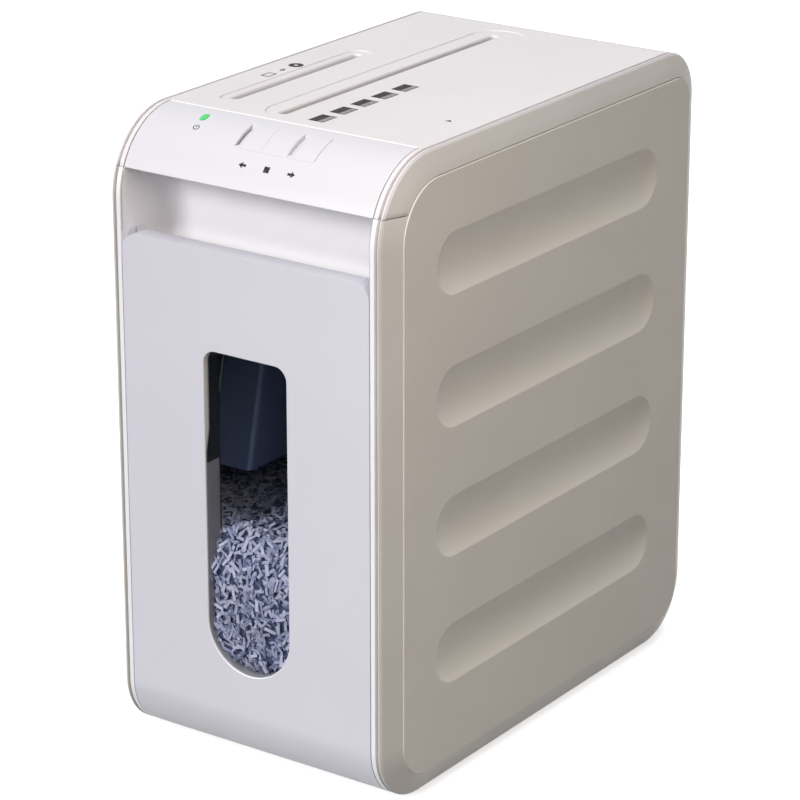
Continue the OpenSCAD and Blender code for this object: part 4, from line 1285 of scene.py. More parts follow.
@dataclass(frozen=True)
class Key:
    """One key's pad: where it starts and ends across the strip, how far its left end falls, its ridge.

    Fall and ridge fade out towards the pad's ends along the curve.
    """

    name: str
    start: float
    end: float
    dip: float = 0.0
    ridge: float = 0.0
    dip_wide: float = 6.5
    ridge_wide: float = 3.5
    side_r: float = 0.22
    end_r: float = 0.05
    fade: Point2 = (0.7, 3.6)

    def height(self, u: float, off: float, half: float) -> float:
        """Return the pad's height over the strip's curve.

        Args:
            u: place across the strip.
            off: distance from the pad's middle line.
            half: half the pad's length along the curve.

        Returns:
            The height in millimetres.
        """

        def rounding(near: float, r: float) -> float:
            """Return how far an edge of radius r falls at a distance from its end."""
            return r - math.sqrt(max(r**2 - max(r - near, 0) ** 2, 0))

        drop = rounding(min(u - self.start, self.end - u), self.side_r) + rounding(half - off, self.end_r)
        wave = self.ridge * max(1 - (self.end - u) / self.ridge_wide, 0) ** 2
        wave -= self.dip * max(1 - (u - self.start) / self.dip_wide, 0) ** 2
        return ease((half - self.fade[0] - off) / self.fade[1]) * wave - drop


@dataclass
class Strip:
    """The glossy quarter-round strip with its sunk key bay and the hole of its power light.

    Foot, head, bay_slope, seam_end and the light's second value are slopes on its curve, in degrees.
    """

    outline: SideOutline
    edge_x: float = 90.0
    foot: float = 22.33
    head: float = 88.2
    bay: Point2 = (-20.0, 38.0)
    bay_half: float = 11.2
    bay_slope: float = 64.5
    bay_left: float = -3.6
    light: Point2 = (-54.0, 73.6)
    light_size: Point2 = (7.0, 4.0)
    seam_end: float = 89.35
    wall: float = 0.8
    cut_across: float = 7.5
    cut_along: float = 0.8
    gap: float = 0.08
    key_back: float = -5.0
    grid: int = 26
    crowd: float = 0.144
    keys: tuple[Key, ...] = (
        Key("reverse", -19.88, -0.56, dip=2.7),
        Key("stop", -0.44, 18.5, ridge=0.6),
        Key("forward", 18.62, 37.6, dip=1.9),
    )

    def shell(self) -> None:
        """Make the strip itself: flat with its bay and its light's hole first, then cut and bent."""
        shape = Shape()
        start, end, mid = (self.outline.along(slope) for slope in (self.foot, self.head, self.bay_slope))
        rims, bay, light = [], [], []
        low, high = (-self.edge_x, start), (self.edge_x, end)
        for inset, w in ((0, -3.0), (0, -0.5), (0.06, -0.28), (0.2, -0.1), (0.5, 0)):
            rims.append(shape.level(rounded(low, high, 0.6, -inset), w))
        low, high = (self.bay[0], mid - self.bay_half), (self.bay[1], mid + self.bay_half)
        steps = ((0, -1.0, self.bay_left), (0, -0.05, -0.05), (0.06, -0.01, -0.01), (0.2, 0.0, 0.0))
        for grow, w, left in steps:
            line = rounded(low, high, 1.0 + grow, grow)
            bay.append(shape.row([(x, y, left if x < low[0] + 0.3 else w) for x, y in line]))
        centre = (self.light[0], self.outline.along(self.light[1]))
        for grow, w in ((0.2, -3.0), (0.2, -0.2), (0.26, -0.06), (0.4, 0)):
            light.append(shape.level(oval(centre, *self.light_size, grow), w))
        for rows in (rims, bay, light):
            shape.loft(rows)
        shape.fill(rims[-1], bay[-1], light[-1])
        shape.cut(1, self.cut_along)
        shape.cut(0, self.cut_across)
        shape.settle()
        shape.move(self.outline.bend)
        shape.bm.normal_update()
        given = ("strip", FINISHES["strip_plastic"], "case", "strip_plastic", "control_strip")
        self.true_up(shape.finish(*given, wall=self.wall, settled=True, weighted=False))

    def true_up(self, piece: Piece) -> None:
        """Give the strip's outer face the exact normals of its curve, so that it shades without streaks.

        Args:
            piece: the strip.
        """
        mesh = keep_result(piece)
        middle = Vector((0, *self.outline.front())) * MM
        away = [Vector((0, v.co.y - middle.y, v.co.z - middle.z)) for v in mesh.vertices]
        flush = [abs(a.length / MM - self.outline.front_top) < 0.004 for a in away]
        normals = [Vector(n.vector) for n in mesh.corner_normals]
        for face in mesh.polygons:
            if all(flush[v] for v in face.vertices):
                for loop, v in zip(face.loop_indices, face.vertices):
                    normals[loop] = away[v].normalized()
        mesh.normals_split_custom_set(normals)

    def key(self, key: Key) -> None:
        """Make one key: a pad flush with the strip, with a hidden flange and a closed back.

        Args:
            key: the key's place and form.
        """
        shape = Shape()
        mid, half = self.outline.along(self.bay_slope), self.bay_half - self.gap

        def spread(a: float, b: float) -> list[float]:
            """Return the grid's lines between two ends, closer together near the ends."""
            shares = [i / self.grid for i in range(self.grid + 1)]
            return [a + (b - a) * (t - self.crowd * math.sin(2 * math.pi * t)) for t in shares]

        across = spread(key.start, key.end)
        rows = [
            shape.row([(u, v, key.height(u, abs(v - mid), half)) for u in across])
            for v in spread(mid - half, mid + half)
        ]
        shape.loft(rows, closed=False)
        rim = rows[0] + [row[-1] for row in rows[1:-1]] + rows[-1][::-1] + [row[0] for row in rows[-2:0:-1]]
        rings = [rim]
        for out, w in ((0.0, -1.3), (0.7, -1.3), (0.7, -1.8), (0.0, -2.0)):
            ring = []
            for u, v, z in (vert.co for vert in rim):
                side = math.copysign(out, v - mid) if abs(v - mid) > half - 0.01 else 0.0
                ring.append((u, v + side, z + w))
            rings.append(shape.row(ring))
        rings.append(shape.level([vert.co.xy for vert in rim], self.key_back))
        shape.loft(rings)
        shape.fill(rings[-1])
        shape.settle()
        shape.move(self.outline.bend)
        node = f"{key.name}_key"
        given = (f"{key.name}_pad", FINISHES["strip_plastic"], node, "strip_plastic", node)
        shape.finish(*given, sharp=50, settled=True)

    def seam(self) -> None:
        """Make the edge where the strip meets the lid, whiter than the strip: a painted highlight."""
        shape = Shape()
        low, high = self.outline.along(self.head + 0.06), self.outline.along(self.seam_end)
        shape.block((-self.edge_x + 0.4, low, -1.0), (self.edge_x - 0.4, high, -0.01))
        shape.settle()
        shape.move(self.outline.bend)
        shape.finish("strip_edge", EDGE_PAINTED_HIGHLIGHT, "case", "strip_plastic", settled=True)

    def build(self) -> None:
        """Make the strip, its edge and its three keys."""
        self.shell()
        self.seam()
        for key in self.keys:
            self.key(key)


# ------------------------------------------------------------------ hand recess


@dataclass
class Recess:
    """The curved trough for the fingers: a liner whose back runs into its ends in wide curves."""

    outline: SideOutline
    half_x: float = 89.7
    face_y: float = -171.4
    drawer_back: float = -158.6
    floor: Point2 = (-157.0, 334.0)
    r: float = 24.0
    levels: tuple[float, ...] = (334.7, 340, 346, 352, 357, 362, 366, 370, 372.6)
    corner: float = 15.0
    wall: float = 0.85
    behind: float = 1.1

    def front(self, z: float) -> float:
        """Return where the ends stop at the front, at a level.

        Args:
            z: the level.

        Returns:
            Y of the liner's front edge.
        """
        if z < self.floor[1] + 0.6:
            return self.drawer_back
        (y, low), r = self.outline.front(), self.outline.front_top
        return max(self.face_y, y - math.sqrt(max(r * r - max(z - low, 0) ** 2, 0)) + self.behind)

    def build(self) -> None:
        """Make the liner."""
        profile = arc(self.floor, self.r, 272, 360, 14) + [(self.floor[0] + self.r, z) for z in self.levels]
        shape = Shape()
        rows = []
        for y, z in profile:
            stop = self.front(z)
            r = min(self.corner, max(y - stop - 0.4, 0.3))
            right = [*arc((self.half_x - r, y - r), r, 90, 0, 10), (self.half_x, stop)]
            rows.append(shape.level([(-x, b) for x, b in right[::-1]] + right, z))
        shape.loft(rows, closed=False)
        # The liner is whiter than the front's plastic: painted light in the recess
        piece = shape.finish("recess_liner", RECESS_PAINTED_LIGHT, "case", "front_plastic", "hand_recess", sharp=60)
        # The wall goes behind the seen face, whichever way the sheet was turned
        back = max(piece.data.polygons, key=lambda f: f.center.y)
        thicken(piece, self.wall, 1.0 if back.normal.y > 0 else -1.0)
        piece.modifiers.move(len(piece.modifiers) - 1, 0)


# ------------------------------------------------------------------ window


@dataclass
class Window:
    """The smoke-tinted pane and the sleeve behind it.

    The pane lies deep_low behind the drawer's face, and deep_high above its turn.
    """

    face_y: float
    half: float = 31.0
    low: float = 68.0
    high: float = 272.5
    corner: float = 9.0
    sleeve_end: float = -159.4
    deep_low: float = 0.5
    deep_high: float = 3.6
    turn: Point2 = (203.0, 224.0)
    thick: float = 1.6
    bead_half: float = 0.85
    bead_out: float = 0.4
    bead_foot: float = 0.75
    bead_high: float = 0.73
    painted_shade_below: float = 201.0

    def line(self, shrink: float) -> list[Point2]:
        """Return the window's outline, with extra points where the pane turns.

        Args:
            shrink: how far inside the opening.

        Returns:
            Points in X and Z.
        """
        r, c = self.half - shrink, self.corner - shrink
        bottom = arc((0, self.low + self.half), r, 180, 360, 36)
        right = arc((r - c, self.high - shrink - c), c, 0, 90, 8)
        left = arc((-r + c, self.high - shrink - c), c, 90, 180, 8)
        turns = [(r, z) for z in (150.0, *range(200, 228, 2))]
        return bottom + turns + right + left + [(-x, z) for x, z in turns[::-1]]

    def row(self, shape: Shape, shrink: float, behind: Callable[[float], float]) -> Row:
        """Add the window's outline as a row.

        Args:
            shape: the mesh that gets it.
            shrink: how far inside the opening.
            behind: gives the distance behind the drawer's face at a level.

        Returns:
            The row.
        """
        return shape.row([(x, self.face_y + behind(z), z) for x, z in self.line(shrink)])

    def depth(self, z: float) -> float:
        """Return how far the pane lies behind the drawer's face at a level."""
        share = ease((z - self.turn[0]) / (self.turn[1] - self.turn[0]))
        return self.deep_low + (self.deep_high - self.deep_low) * share

    def rim(self) -> None:
        """Make the bead round the opening, with its lining down to the pane, whiter than the front: a painted
        highlight.
        """
        ring = Shape()
        rows = []
        for a in (math.pi * (1 - i / 10) for i in range(11)):
            shrink, back = self.bead_half * math.cos(a) - self.bead_out, self.bead_high * math.sin(a)
            rows.append(self.row(ring, shrink, lambda z, back=back: self.bead_foot - back))
        for shrink in (self.bead_half - self.bead_out, -0.1):
            rows.append(self.row(ring, shrink, lambda z: max(self.depth(z) - 0.05, 0.8)))
        ring.loft(rows + [rows[0]])
        ring.finish("window_rim", EDGE_PAINTED_HIGHLIGHT, "drawer", "front_plastic")

    def pane(self) -> None:
        """Make the pane, closed and with broken edges."""
        pane = Shape()
        rows = []
        for shrink, back in ((0.62, 0.0), (0.3, 0.3), (0.15, self.thick - 0.2), (0.35, self.thick)):
            rows.append(self.row(pane, shrink, lambda z, back=back: self.depth(z) + back))
        pane.loft(rows)
        for row in (rows[0], rows[-1]):
            pane.fill(row)
        pane.finish("pane", FINISHES["window_smoke"], "drawer", "window_smoke", "window_pane")

    def sleeve(self) -> None:
        """Make the sleeve from the pane to the bin's wall: black above a level, and below it grey, a painted
        shade of the pale wall that shows there.
        """
        sleeve = Shape()
        start, end = self.thick + 0.1, self.sleeve_end - self.face_y
        rows = [self.row(sleeve, shrink, lambda z: self.depth(z) + start) for shrink in (0.05, 0.9)]
        rows += [self.row(sleeve, shrink, lambda z: end) for shrink in (0.9, 0.05)]
        sleeve.loft(rows + [rows[0]])
        made = sleeve.finish("window_sleeve", FINISHES["dark_plastic"], "drawer", "dark_plastic")
        # Below the level the sleeve is grey: painted shade of the pale wall
        made.data.materials.append(SLEEVE_PAINTED_SHADE.material())
        for face in made.data.polygons:
            face.material_index = int(face.center.z < self.painted_shade_below * MM)

    def build(self) -> None:
        """Make the rim, the pane and its sleeve."""
        self.rim()
        self.pane()
        self.sleeve()


# ------------------------------------------------------------------ scrap box


@dataclass
class ScrapBox:
    """The open box for disc scraps: its front leans back, and a hook carries it on the bin's left rim."""

    low: Vector
    high: Vector
    left: float = -73.0
    fore: float = 5.0
    drop: float = 3.0
    rim: float = 273.0
    lip: float = 1.2
    lean: float = 0.235
    wall: float = 1.6
    corner: float = 4.0

    def row(self, shape: Shape, inset: float, z: float) -> Row:
        """Add the box's outline at a level.

        Args:
            shape: the box's mesh.
            inset: how far inside the box's outer face.
            z: the level.

        Returns:
            The row.
        """
        near = (self.left, self.low.y - self.fore + self.lean * (z - self.low.z))
        far = (self.high.x - self.lip, self.high.y - self.lip)
        return shape.level(rounded(near, far, max(self.corner - inset, 0.6), -inset), z)

    def build(self) -> None:
        """Make the box with its hook, and the pale strip down its front left edge, a painted highlight."""
        shape = Shape()
        foot, rim, wall, top = self.low.z - self.drop, self.rim, self.wall, self.high.z
        # Outside from the foot to the turned-out rim, then inside down to the floor
        steps = (
            (0.9, foot), (0.25, foot + 0.25), (0, foot + 0.9), (0, rim - 2.6), (-0.5, rim - 2.0),
            (-self.lip, rim - 1.6), (-self.lip, rim - 0.4), (-self.lip + 0.4, rim), (wall - 0.3, rim),
            (wall, rim - 0.3), (wall, foot + wall + 0.6), (wall + 0.6, foot + wall),
        )
        rows = [self.row(shape, inset, z) for inset, z in steps]
        shape.loft(rows)
        shape.fill(rows[0])
        shape.fill(rows[-1])
        fore, back = self.low.y + self.lean * (top - foot) + 4, self.high.y - 6
        hook = Shape()
        hook.block((self.left, fore, rim - 4), (self.left + wall, back, top))
        hook.block((self.low.x, fore, top - wall), (self.left + 0.5, back, top))
        shape.absorb(hook)
        shape.finish("scrap_box", FINISHES["navy_plastic"], "drawer", "navy_plastic", "disc_scrap_box")
        edge = Shape()
        front = self.low.y - self.fore + 0.6
        edge.block((self.left - 0.2, front, foot + 26), (self.left + 0.8, front + 1.2, rim - 4))
        edge.move(lambda p: Vector((p.x, p.y + self.lean * (p.z - self.low.z), p.z)))
        edge.finish("scrap_box_edge", BOX_EDGE_PAINTED_HIGHLIGHT, "drawer", "navy_plastic")


# ------------------------------------------------------------------ printed signs


class Sign(Enum):
    """Plain signs that any maker uses."""

    BACK = "arrow to the left"
    HALT = "square"
    ONWARD = "arrow to the right"
    POWER = "bar in a ring"
    SHEET = "sheet"
    DISC = "disc"
    DOWN = "arrow down"
    WEDGE = "small triangle"


Place = Callable[[float, float, float], Point3]


@dataclass
class Signs:
    """Pad-printed signs on the lid and on the strip, each a film a few hundredths thick."""

    outline: SideOutline
    film: float = 0.06
    sunk: float = 0.1
    proud: float = 0.04

    def loops(self, sign: Sign, size: float) -> list[list[list[Point2]]]:
        """Return a sign in a frame of u right and v up.

        Args:
            sign: the sign.
            size: its length or height.

        Returns:
            Its shapes, each an outline and its holes.
        """
        s, q = size / 2, 0.375 * size
        wide, thin = 0.8 * s, 0.3 * s
        arrow = [(-s, 0), (0, -wide), (0, -thin), (s, -thin), (s, thin), (0, thin), (0, wide)]
        page = [(-0.7 * s, -s), (0.7 * s, -s), (0.7 * s, s), (-0.7 * s, s)]
        ring, hole = arc((0, 0), s, 0, 360, 28)[:-1], arc((0, 0), 0.3 * s, 0, 360, 20)[:-1]
        split = arc((0, 0), s, 115, 425, 26) + arc((0, 0), 0.74 * s, 425, 115, 26)
        bar = [(-0.12 * s, -0.05 * s), (0.12 * s, -0.05 * s), (0.12 * s, 1.15 * s), (-0.12 * s, 1.15 * s)]
        return {
            Sign.BACK: [[arrow]],
            Sign.ONWARD: [[[(-u, -v) for u, v in arrow]]],
            Sign.DOWN: [[[(v, u) for u, v in arrow][::-1]]],
            Sign.HALT: [[[(-q, -q), (q, -q), (q, q), (-q, q)]]],
            Sign.WEDGE: [[[(-s, -0.6 * s), (s, -0.6 * s), (0, 0.8 * s)]]],
            Sign.SHEET: [[page, [(0.72 * u, 0.78 * v) for u, v in page]]],
            Sign.DISC: [[ring, hole]],
            Sign.POWER: [[split], [bar]],
        }[sign]

    def lay(self, shape: Shape, outline: Sequence[Sequence[Point2]], place: Place) -> None:
        """Add one flat film with holes, laid on a surface by its place rule.

        Args:
            shape: the mesh that gets it.
            outline: outer loop and holes.
            place: turns u, v and the height above the surface into a point.
        """
        low = [shape.row([place(u, v, -self.sunk) for u, v in loop]) for loop in outline]
        high = [shape.row([place(u, v, self.film) for u, v in loop]) for loop in outline]
        for a, b in zip(low, high):
            shape.skin(a, b)
        shape.fill(*low)
        shape.fill(*high)

    def on_top(self, x: float, y: float) -> Place:
        """Return the place rule of a spot on the lid."""
        base = self.outline.top - self.film + self.proud
        return lambda u, v, w: (x + u, y + v, base + w)

    def on_strip(self, x: float, slope: float) -> Place:
        """Return the place rule of a spot on the strip at a slope in degrees."""
        start = self.outline.along(slope)
        return lambda u, v, w: self.outline.bend(Vector((x + u, start + v, w)))

    def build(self) -> None:
        """Print every sign."""
        shape = Shape()
        spots = [
            (Sign.BACK, 5.2, self.on_strip(-7.7, 40)),
            (Sign.HALT, 5.2, self.on_strip(9.7, 40)),
            (Sign.ONWARD, 5.2, self.on_strip(27.3, 40)),
            (Sign.POWER, 4.2, self.on_strip(-53, 62)),
            (Sign.SHEET, 9.0, self.on_top(-77.5, -43)),
            (Sign.DOWN, 5.5, self.on_top(-77.5, -29)),
            (Sign.DISC, 9.5, self.on_top(-77.5, -15)),
            (Sign.WEDGE, 4.6, self.on_top(72.6, -67)),
        ]
        for sign, size, place in spots:
            for outline in self.loops(sign, size):
                self.lay(shape, outline, place)
        shape.finish("printed_signs", INK_BLACK, "case", "dark_plastic")


@dataclass
class TileRow:
    """Five small plain tiles beside the paper slot, in dark and light halves without any picture."""

    top: float
    x: float = 9.0
    fore_y: float = -105.0
    pitch: float = 21.0
    length: float = 14.5
    width: float = 11.0
    number: int = 5
    film: float = 0.05

    def tree(self) -> Tree:
        """Build the geometry nodes that set tiles out along Y.

        Returns:
            The tree.
        """
        inputs = {"Number": "Int", "Pitch": "Float", "Size": "Vector", "Start": "Vector"}
        tree, given = geometry_tree("tile_row", inputs | {"Finish": "Material"})
        tile = add(tree, "GeometryNodeMeshCube", inputs={"Size": given["Size"]}).outputs[0]
        step = add(tree, "ShaderNodeCombineXYZ", inputs={1: given["Pitch"]}).outputs[0]
        row = {"Count": given["Number"], "Start Location": given["Start"], "Offset": step}
        line = add(tree, "GeometryNodeMeshLine", inputs=row).outputs[0]
        laid = add(tree, "GeometryNodeInstanceOnPoints", inputs={"Points": line, "Instance": tile}).outputs[0]
        real = add(tree, "GeometryNodeRealizeInstances", inputs={0: laid}).outputs[0]
        done = add(tree, "GeometryNodeSetMaterial", inputs={"Geometry": real, "Material": given["Finish"]})
        add(tree, "NodeGroupOutput", inputs={0: done.outputs[0]})
        return tree

    def build(self) -> None:
        """Lay the dark halves and the light halves."""
        tree = self.tree()
        for name, ink, width, length, off, lift in (
            ("tiles_dark", INK_BLACK, self.width, self.length, 0.0, 0.04),
            ("tiles_light", INK_GREY, 0.34 * self.width, self.length - 1.4, 0.27 * self.width, 0.06),
        ):
            piece = link(name, bpy.data.meshes.new(name))
            values = {
                "Number": self.number,
                "Pitch": self.pitch * MM,
                "Size": Vector((width, length, 2 * self.film)) * MM,
                "Start": Vector((self.x + off, self.fore_y, self.top - self.film + lift)) * MM,
                "Finish": ink.material(),
            }
            bake(piece, tree, values)
            hang(piece, "case", "dark_plastic")


# ------------------------------------------------------------------ shredded paper


@dataclass
class PaperHeap:
    """The heap of cross-cut strips in the bin: a lumpy core under thousands of loose strips.

    Each chance is what differs from strip to strip, with its lowest and highest value: tilts and spin in
    radians, lift as a share of the depth, length as a share of the full one.
    """

    low: Vector
    high: Vector
    window_half: float = 31.0
    window_low: float = 68.0
    top: float = 155.0
    crown: float = 4.0
    lumps: tuple[Point2, ...] = ((17.0, 2.2), (6.0, 0.8))
    lean: float = 9.0
    lean_from: float = 128.0
    lean_deep: float = 70.0
    bulge: float = 13.0
    foot: float = 23.4
    strip: Point3 = (8.0, 1.9, 0.18)
    per_cm2: float = 14.0
    depth: float = 3.0
    curl: float = 38.0
    chances: tuple[tuple[str, float, float], ...] = (
        ("lift", -0.35, 0.75),
        ("tilt over X", -0.5, 0.5),
        ("tilt over Y", -0.4, 0.4),
        ("spin", 0.0, 2 * math.pi),
        ("length", 0.55, 1.15),
        ("tint", 0.0, 1.0),
        ("curl", -1.0, 1.0),
    )

    def skin_point(self, x: float, y: float, z: float) -> Point3:
        """Push a core point in or out by lumps, back where the heap leans and out at the window.

        Args:
            x: the point's X.
            y: its Y.
            z: its Z.

        Returns:
            The point's new place.
        """
        p = Vector((x, y, z))
        lump = sum(noise.noise(p / width) * height for width, height in self.lumps)
        # The top is a low dome, a little higher in the middle
        if z > self.low.z + 1:
            z = min(z, self.top + self.crown * math.exp(-(((y + 5) / 85) ** 2)) - 0.0006 * x * x + lump)
        front = y < self.low.y + 2.0
        rise = max(z - self.lean_from, 0.0) / (self.top - self.lean_from)
        y += self.lean * rise**1.5 * max(1 - (y - self.low.y) / self.lean_deep, 0.0)
        # The front bulges into the window's opening, and falls back beside and below it
        if front:
            across = max(0.0, 1 - (abs(x) / (self.window_half + 8)) ** 12)
            under = max(0.0, min(1.0, (z - self.window_low + 3) / 8))
            y += 1.5 - self.bulge * across * under + 0.35 * lump
        return (x, y, z)

    def core(self) -> Piece:
        """Build the core as a closed grid box with a lumpy skin.

        Returns:
            The core.
        """
        shape = Shape()
        low, high = self.low + Vector((2, 1.5, 1)), self.high - Vector((2, 3, 0))
        bmesh.ops.create_cube(shape.bm, size=1.0)
        shape.move(lambda p: into_box(p, low, high))
        for axis, pitch in ((0, 5.0), (1, 8.0), (2, 6.0)):
            shape.cut(axis, pitch)
        middle = Vector((self.low.y + self.foot, self.low.z + self.foot))

        def settle(p: Vector) -> Vector:
            """Keep the core inside the bin's rounded front foot, then add the lumps.

            Args:
                p: a point of the core.

            Returns:
                Its new place.
            """
            at = p.yz
            away = at - middle
            if max(away) < 0 and away.length > 1e-6:
                at = middle + away * (-min(away) / away.length * 0.97)
            return Vector(self.skin_point(p.x, *at))

        shape.move(settle)
        # The core shows dark through the gaps between the strips: painted shade
        return shape.finish("shred_core", HEAP_PAINTED_SHADE, "drawer", "paper_shreds", "shredded_paper", sharp=180)

    def tree(self) -> Tree:
        """Build the geometry nodes that strew bent strips over a skin.

        Returns:
            The tree.
        """
        inputs = {"Geometry": "Geometry", "Density": "Float", "Size": "Vector", "Depth": "Float"}
        inputs |= {"Curl": "Float", "Seed": "Int", "Finish": "Material"}
        tree, given = geometry_tree("strewn_strips", inputs)
        chance = {}
        for offset, (name, low, high) in enumerate(self.chances, start=1):
            own = add(tree, "ShaderNodeMath", {"operation": "ADD"}, {0: given["Seed"], 1: float(offset)})
            values = {"Seed": own.outputs[0], 2: low, 3: high}
            chance[name] = add(tree, "FunctionNodeRandomValue", {"data_type": "FLOAT"}, values).outputs[1]

        # Places on the skin, lifted a little off it or sunk into it
        normal = add(tree, "GeometryNodeInputNormal").outputs[0]
        up = add(tree, "ShaderNodeSeparateXYZ", inputs={0: normal}).outputs[2]
        seen = add(tree, "FunctionNodeCompare", {"operation": "GREATER_THAN"}, {0: up, 1: -0.75}).outputs[0]
        values = {"Mesh": given["Geometry"], "Selection": seen}
        values |= {"Density": given["Density"], "Seed": given["Seed"]}
        cast = add(tree, "GeometryNodeDistributePointsOnFaces", inputs=values).outputs
        lift = add(tree, "ShaderNodeMath", {"operation": "MULTIPLY"}, {0: chance["lift"], 1: given["Depth"]})
        values = {0: cast["Normal"], "Scale": lift.outputs[0]}
        off = add(tree, "ShaderNodeVectorMath", {"operation": "SCALE"}, values).outputs[0]
        values = {"Geometry": cast["Points"], "Offset": off}
        spots = add(tree, "GeometryNodeSetPosition", inputs=values).outputs[0]

        # One flat strip on each, turned and shortened by chance
        values = {0: chance["tilt over X"], 1: chance["tilt over Y"], 2: chance["spin"]}
        euler = add(tree, "ShaderNodeCombineXYZ", inputs=values).outputs[0]
        own = add(tree, "FunctionNodeEulerToRotation", inputs={0: euler}).outputs[0]
        values = {"Rotation": cast["Rotation"], "Rotate By": own}
        turned = add(tree, "FunctionNodeRotateRotation", {"rotation_space": "LOCAL"}, values).outputs[0]
        values = {"Size": given["Size"], "Vertices X": 3, "Vertices Y": 2, "Vertices Z": 2}
        strip = add(tree, "GeometryNodeMeshCube", inputs=values).outputs[0]
        where = add(tree, "GeometryNodeInputPosition").outputs[0]
        along = add(tree, "ShaderNodeSeparateXYZ", inputs={0: where}).outputs[0]
        kind = {"data_type": "FLOAT", "domain": "POINT"}
        values = {"Geometry": strip, "Name": "along", "Value": along}
        marked = add(tree, "GeometryNodeStoreNamedAttribute", kind, values).outputs[0]
        scale = add(tree, "ShaderNodeCombineXYZ", inputs={0: chance["length"], 1: 1.0, 2: 1.0}).outputs[0]
        values = {"Points": spots, "Instance": marked, "Rotation": turned, "Scale": scale}
        laid = add(tree, "GeometryNodeInstanceOnPoints", inputs=values).outputs[0]

        # What each strip carries along: its tint, its curl and the way that it curls
        facing = add(tree, "GeometryNodeInputInstanceRotation").outputs[0]
        values = {"Vector": (0.0, 0.0, 1.0), "Rotation": facing}
        out = add(tree, "FunctionNodeRotateVector", inputs=values).outputs[0]
        marks = [(name, chance[name], "FLOAT") for name in ("tint", "curl")] + [("out", out, "FLOAT_VECTOR")]
        for name, value, data in marks:
            kind = {"data_type": data, "domain": "INSTANCE"}
            values = {"Geometry": laid, "Name": name, "Value": value}
            laid = add(tree, "GeometryNodeStoreNamedAttribute", kind, values).outputs[0]
        real = add(tree, "GeometryNodeRealizeInstances", inputs={0: laid}).outputs[0]

        # Each strip bent to a bow
        read = {}
        for name, data in (("along", "FLOAT"), ("curl", "FLOAT"), ("out", "FLOAT_VECTOR")):
            node = add(tree, "GeometryNodeInputNamedAttribute", {"data_type": data}, {"Name": name})
            read[name] = node.outputs[0]
        amount = read["along"]
        for factor in (read["along"], read["curl"], given["Curl"]):
            amount = add(tree, "ShaderNodeMath", {"operation": "MULTIPLY"}, {0: amount, 1: factor}).outputs[0]
        bend = add(tree, "ShaderNodeVectorMath", {"operation": "SCALE"}, {0: read["out"], "Scale": amount})
        values = {"Geometry": real, "Offset": bend.outputs[0]}
        bent = add(tree, "GeometryNodeSetPosition", inputs=values).outputs[0]
        done = add(tree, "GeometryNodeSetMaterial", inputs={"Geometry": bent, "Material": given["Finish"]})
        add(tree, "NodeGroupOutput", inputs={0: done.outputs[0]})
        return tree

    def shows(self, normal: Vector, at: Vector) -> bool:
        """Return whether a spot of the skin can be seen: on top, or in front behind the window."""
        return normal.z > 0.4 or (normal.y < -0.4 and abs(at.x) < self.window_half + 10)

    def build(self) -> None:
        """Make the core and strew the strips over it."""
        core = self.core()
        skin = bmesh.new()
        skin.from_mesh(core.data)
        hidden = [f for f in skin.faces if not self.shows(f.normal, f.calc_center_median() / MM)]
        bmesh.ops.delete(skin, geom=hidden, context="FACES")
        mesh = bpy.data.meshes.new("shred_strips")
        skin.to_mesh(mesh)
        skin.free()
        loose = link("shred_strips", mesh)
        values = {
            "Density": self.per_cm2 * 1e4,
            "Size": Vector(self.strip) * MM,
            "Depth": self.depth * MM,
            "Curl": self.curl,
            "Seed": SEED,
            "Finish": FINISHES["paper_shreds"].material(),
        }
        bake(loose, self.tree(), values)
        hang(loose, "drawer", "paper_shreds")


# ------------------------------------------------------------------ CAD nodes that stay


@dataclass
class Machined:
    """Moulded and machined parts whose solids are right as they are: merged, edges broken, smoothed.

    Merge and edge are in millimetres, crease and smooth are angles in degrees.
    """

    nodes: dict[str, Piece]
    slots: dict[str, str]
    broken: dict[str, float] = field(default_factory=dict)
    merge: float = 0.01
    edge: float = 0.2
    crease: float = 32.0
    smooth: float = 28.0

    def tree(self) -> Tree:
        """Build the geometry nodes that shade a mesh smooth up to an angle.

        Returns:
            The tree.
        """
        tree, given = geometry_tree("smooth_to_angle", {"Geometry": "Geometry", "Angle": "Float"})
        tree.interface.items_tree["Angle"].default_value = math.radians(self.smooth)
        values = {"Geometry": given["Geometry"], "Shade Smooth": True}
        whole = add(tree, "GeometryNodeSetShadeSmooth", {"domain": "FACE"}, values).outputs[0]
        angle = add(tree, "GeometryNodeInputMeshEdgeAngle").outputs[0]
        low = add(tree, "FunctionNodeCompare", {"operation": "LESS_THAN"}, {0: angle, 1: given["Angle"]})
        values = {"Geometry": whole, "Shade Smooth": low.outputs[0]}
        edges = add(tree, "GeometryNodeSetShadeSmooth", {"domain": "EDGE"}, values)
        add(tree, "NodeGroupOutput", inputs={0: edges.outputs[0]})
        return tree

    def dress(self) -> None:
        """Give every node its finish and its softened edges."""
        tree = self.tree()
        for name, node in self.nodes.items():
            material = FINISHES[self.slots[name]].material()
            if node.material_slots:
                for slot in node.material_slots:
                    slot.material = material
            else:
                node.data.materials.append(material)
            node.modifiers.new("merged", "WELD").merge_threshold = self.merge * MM
            width = self.broken.get(name, self.edge)
            if width:
                bevel = node.modifiers.new("broken edges", "BEVEL")
                bevel.width, bevel.segments = width * MM, 2
                bevel.limit_method, bevel.angle_limit = "ANGLE", math.radians(self.crease)
            node.modifiers.new("smooth", "NODES").node_group = tree
            node.modifiers.new("flat faces", "WEIGHTED_NORMAL").keep_sharp = True
        log.info("%d nodes dressed", len(self.nodes))


# ------------------------------------------------------------------ studio


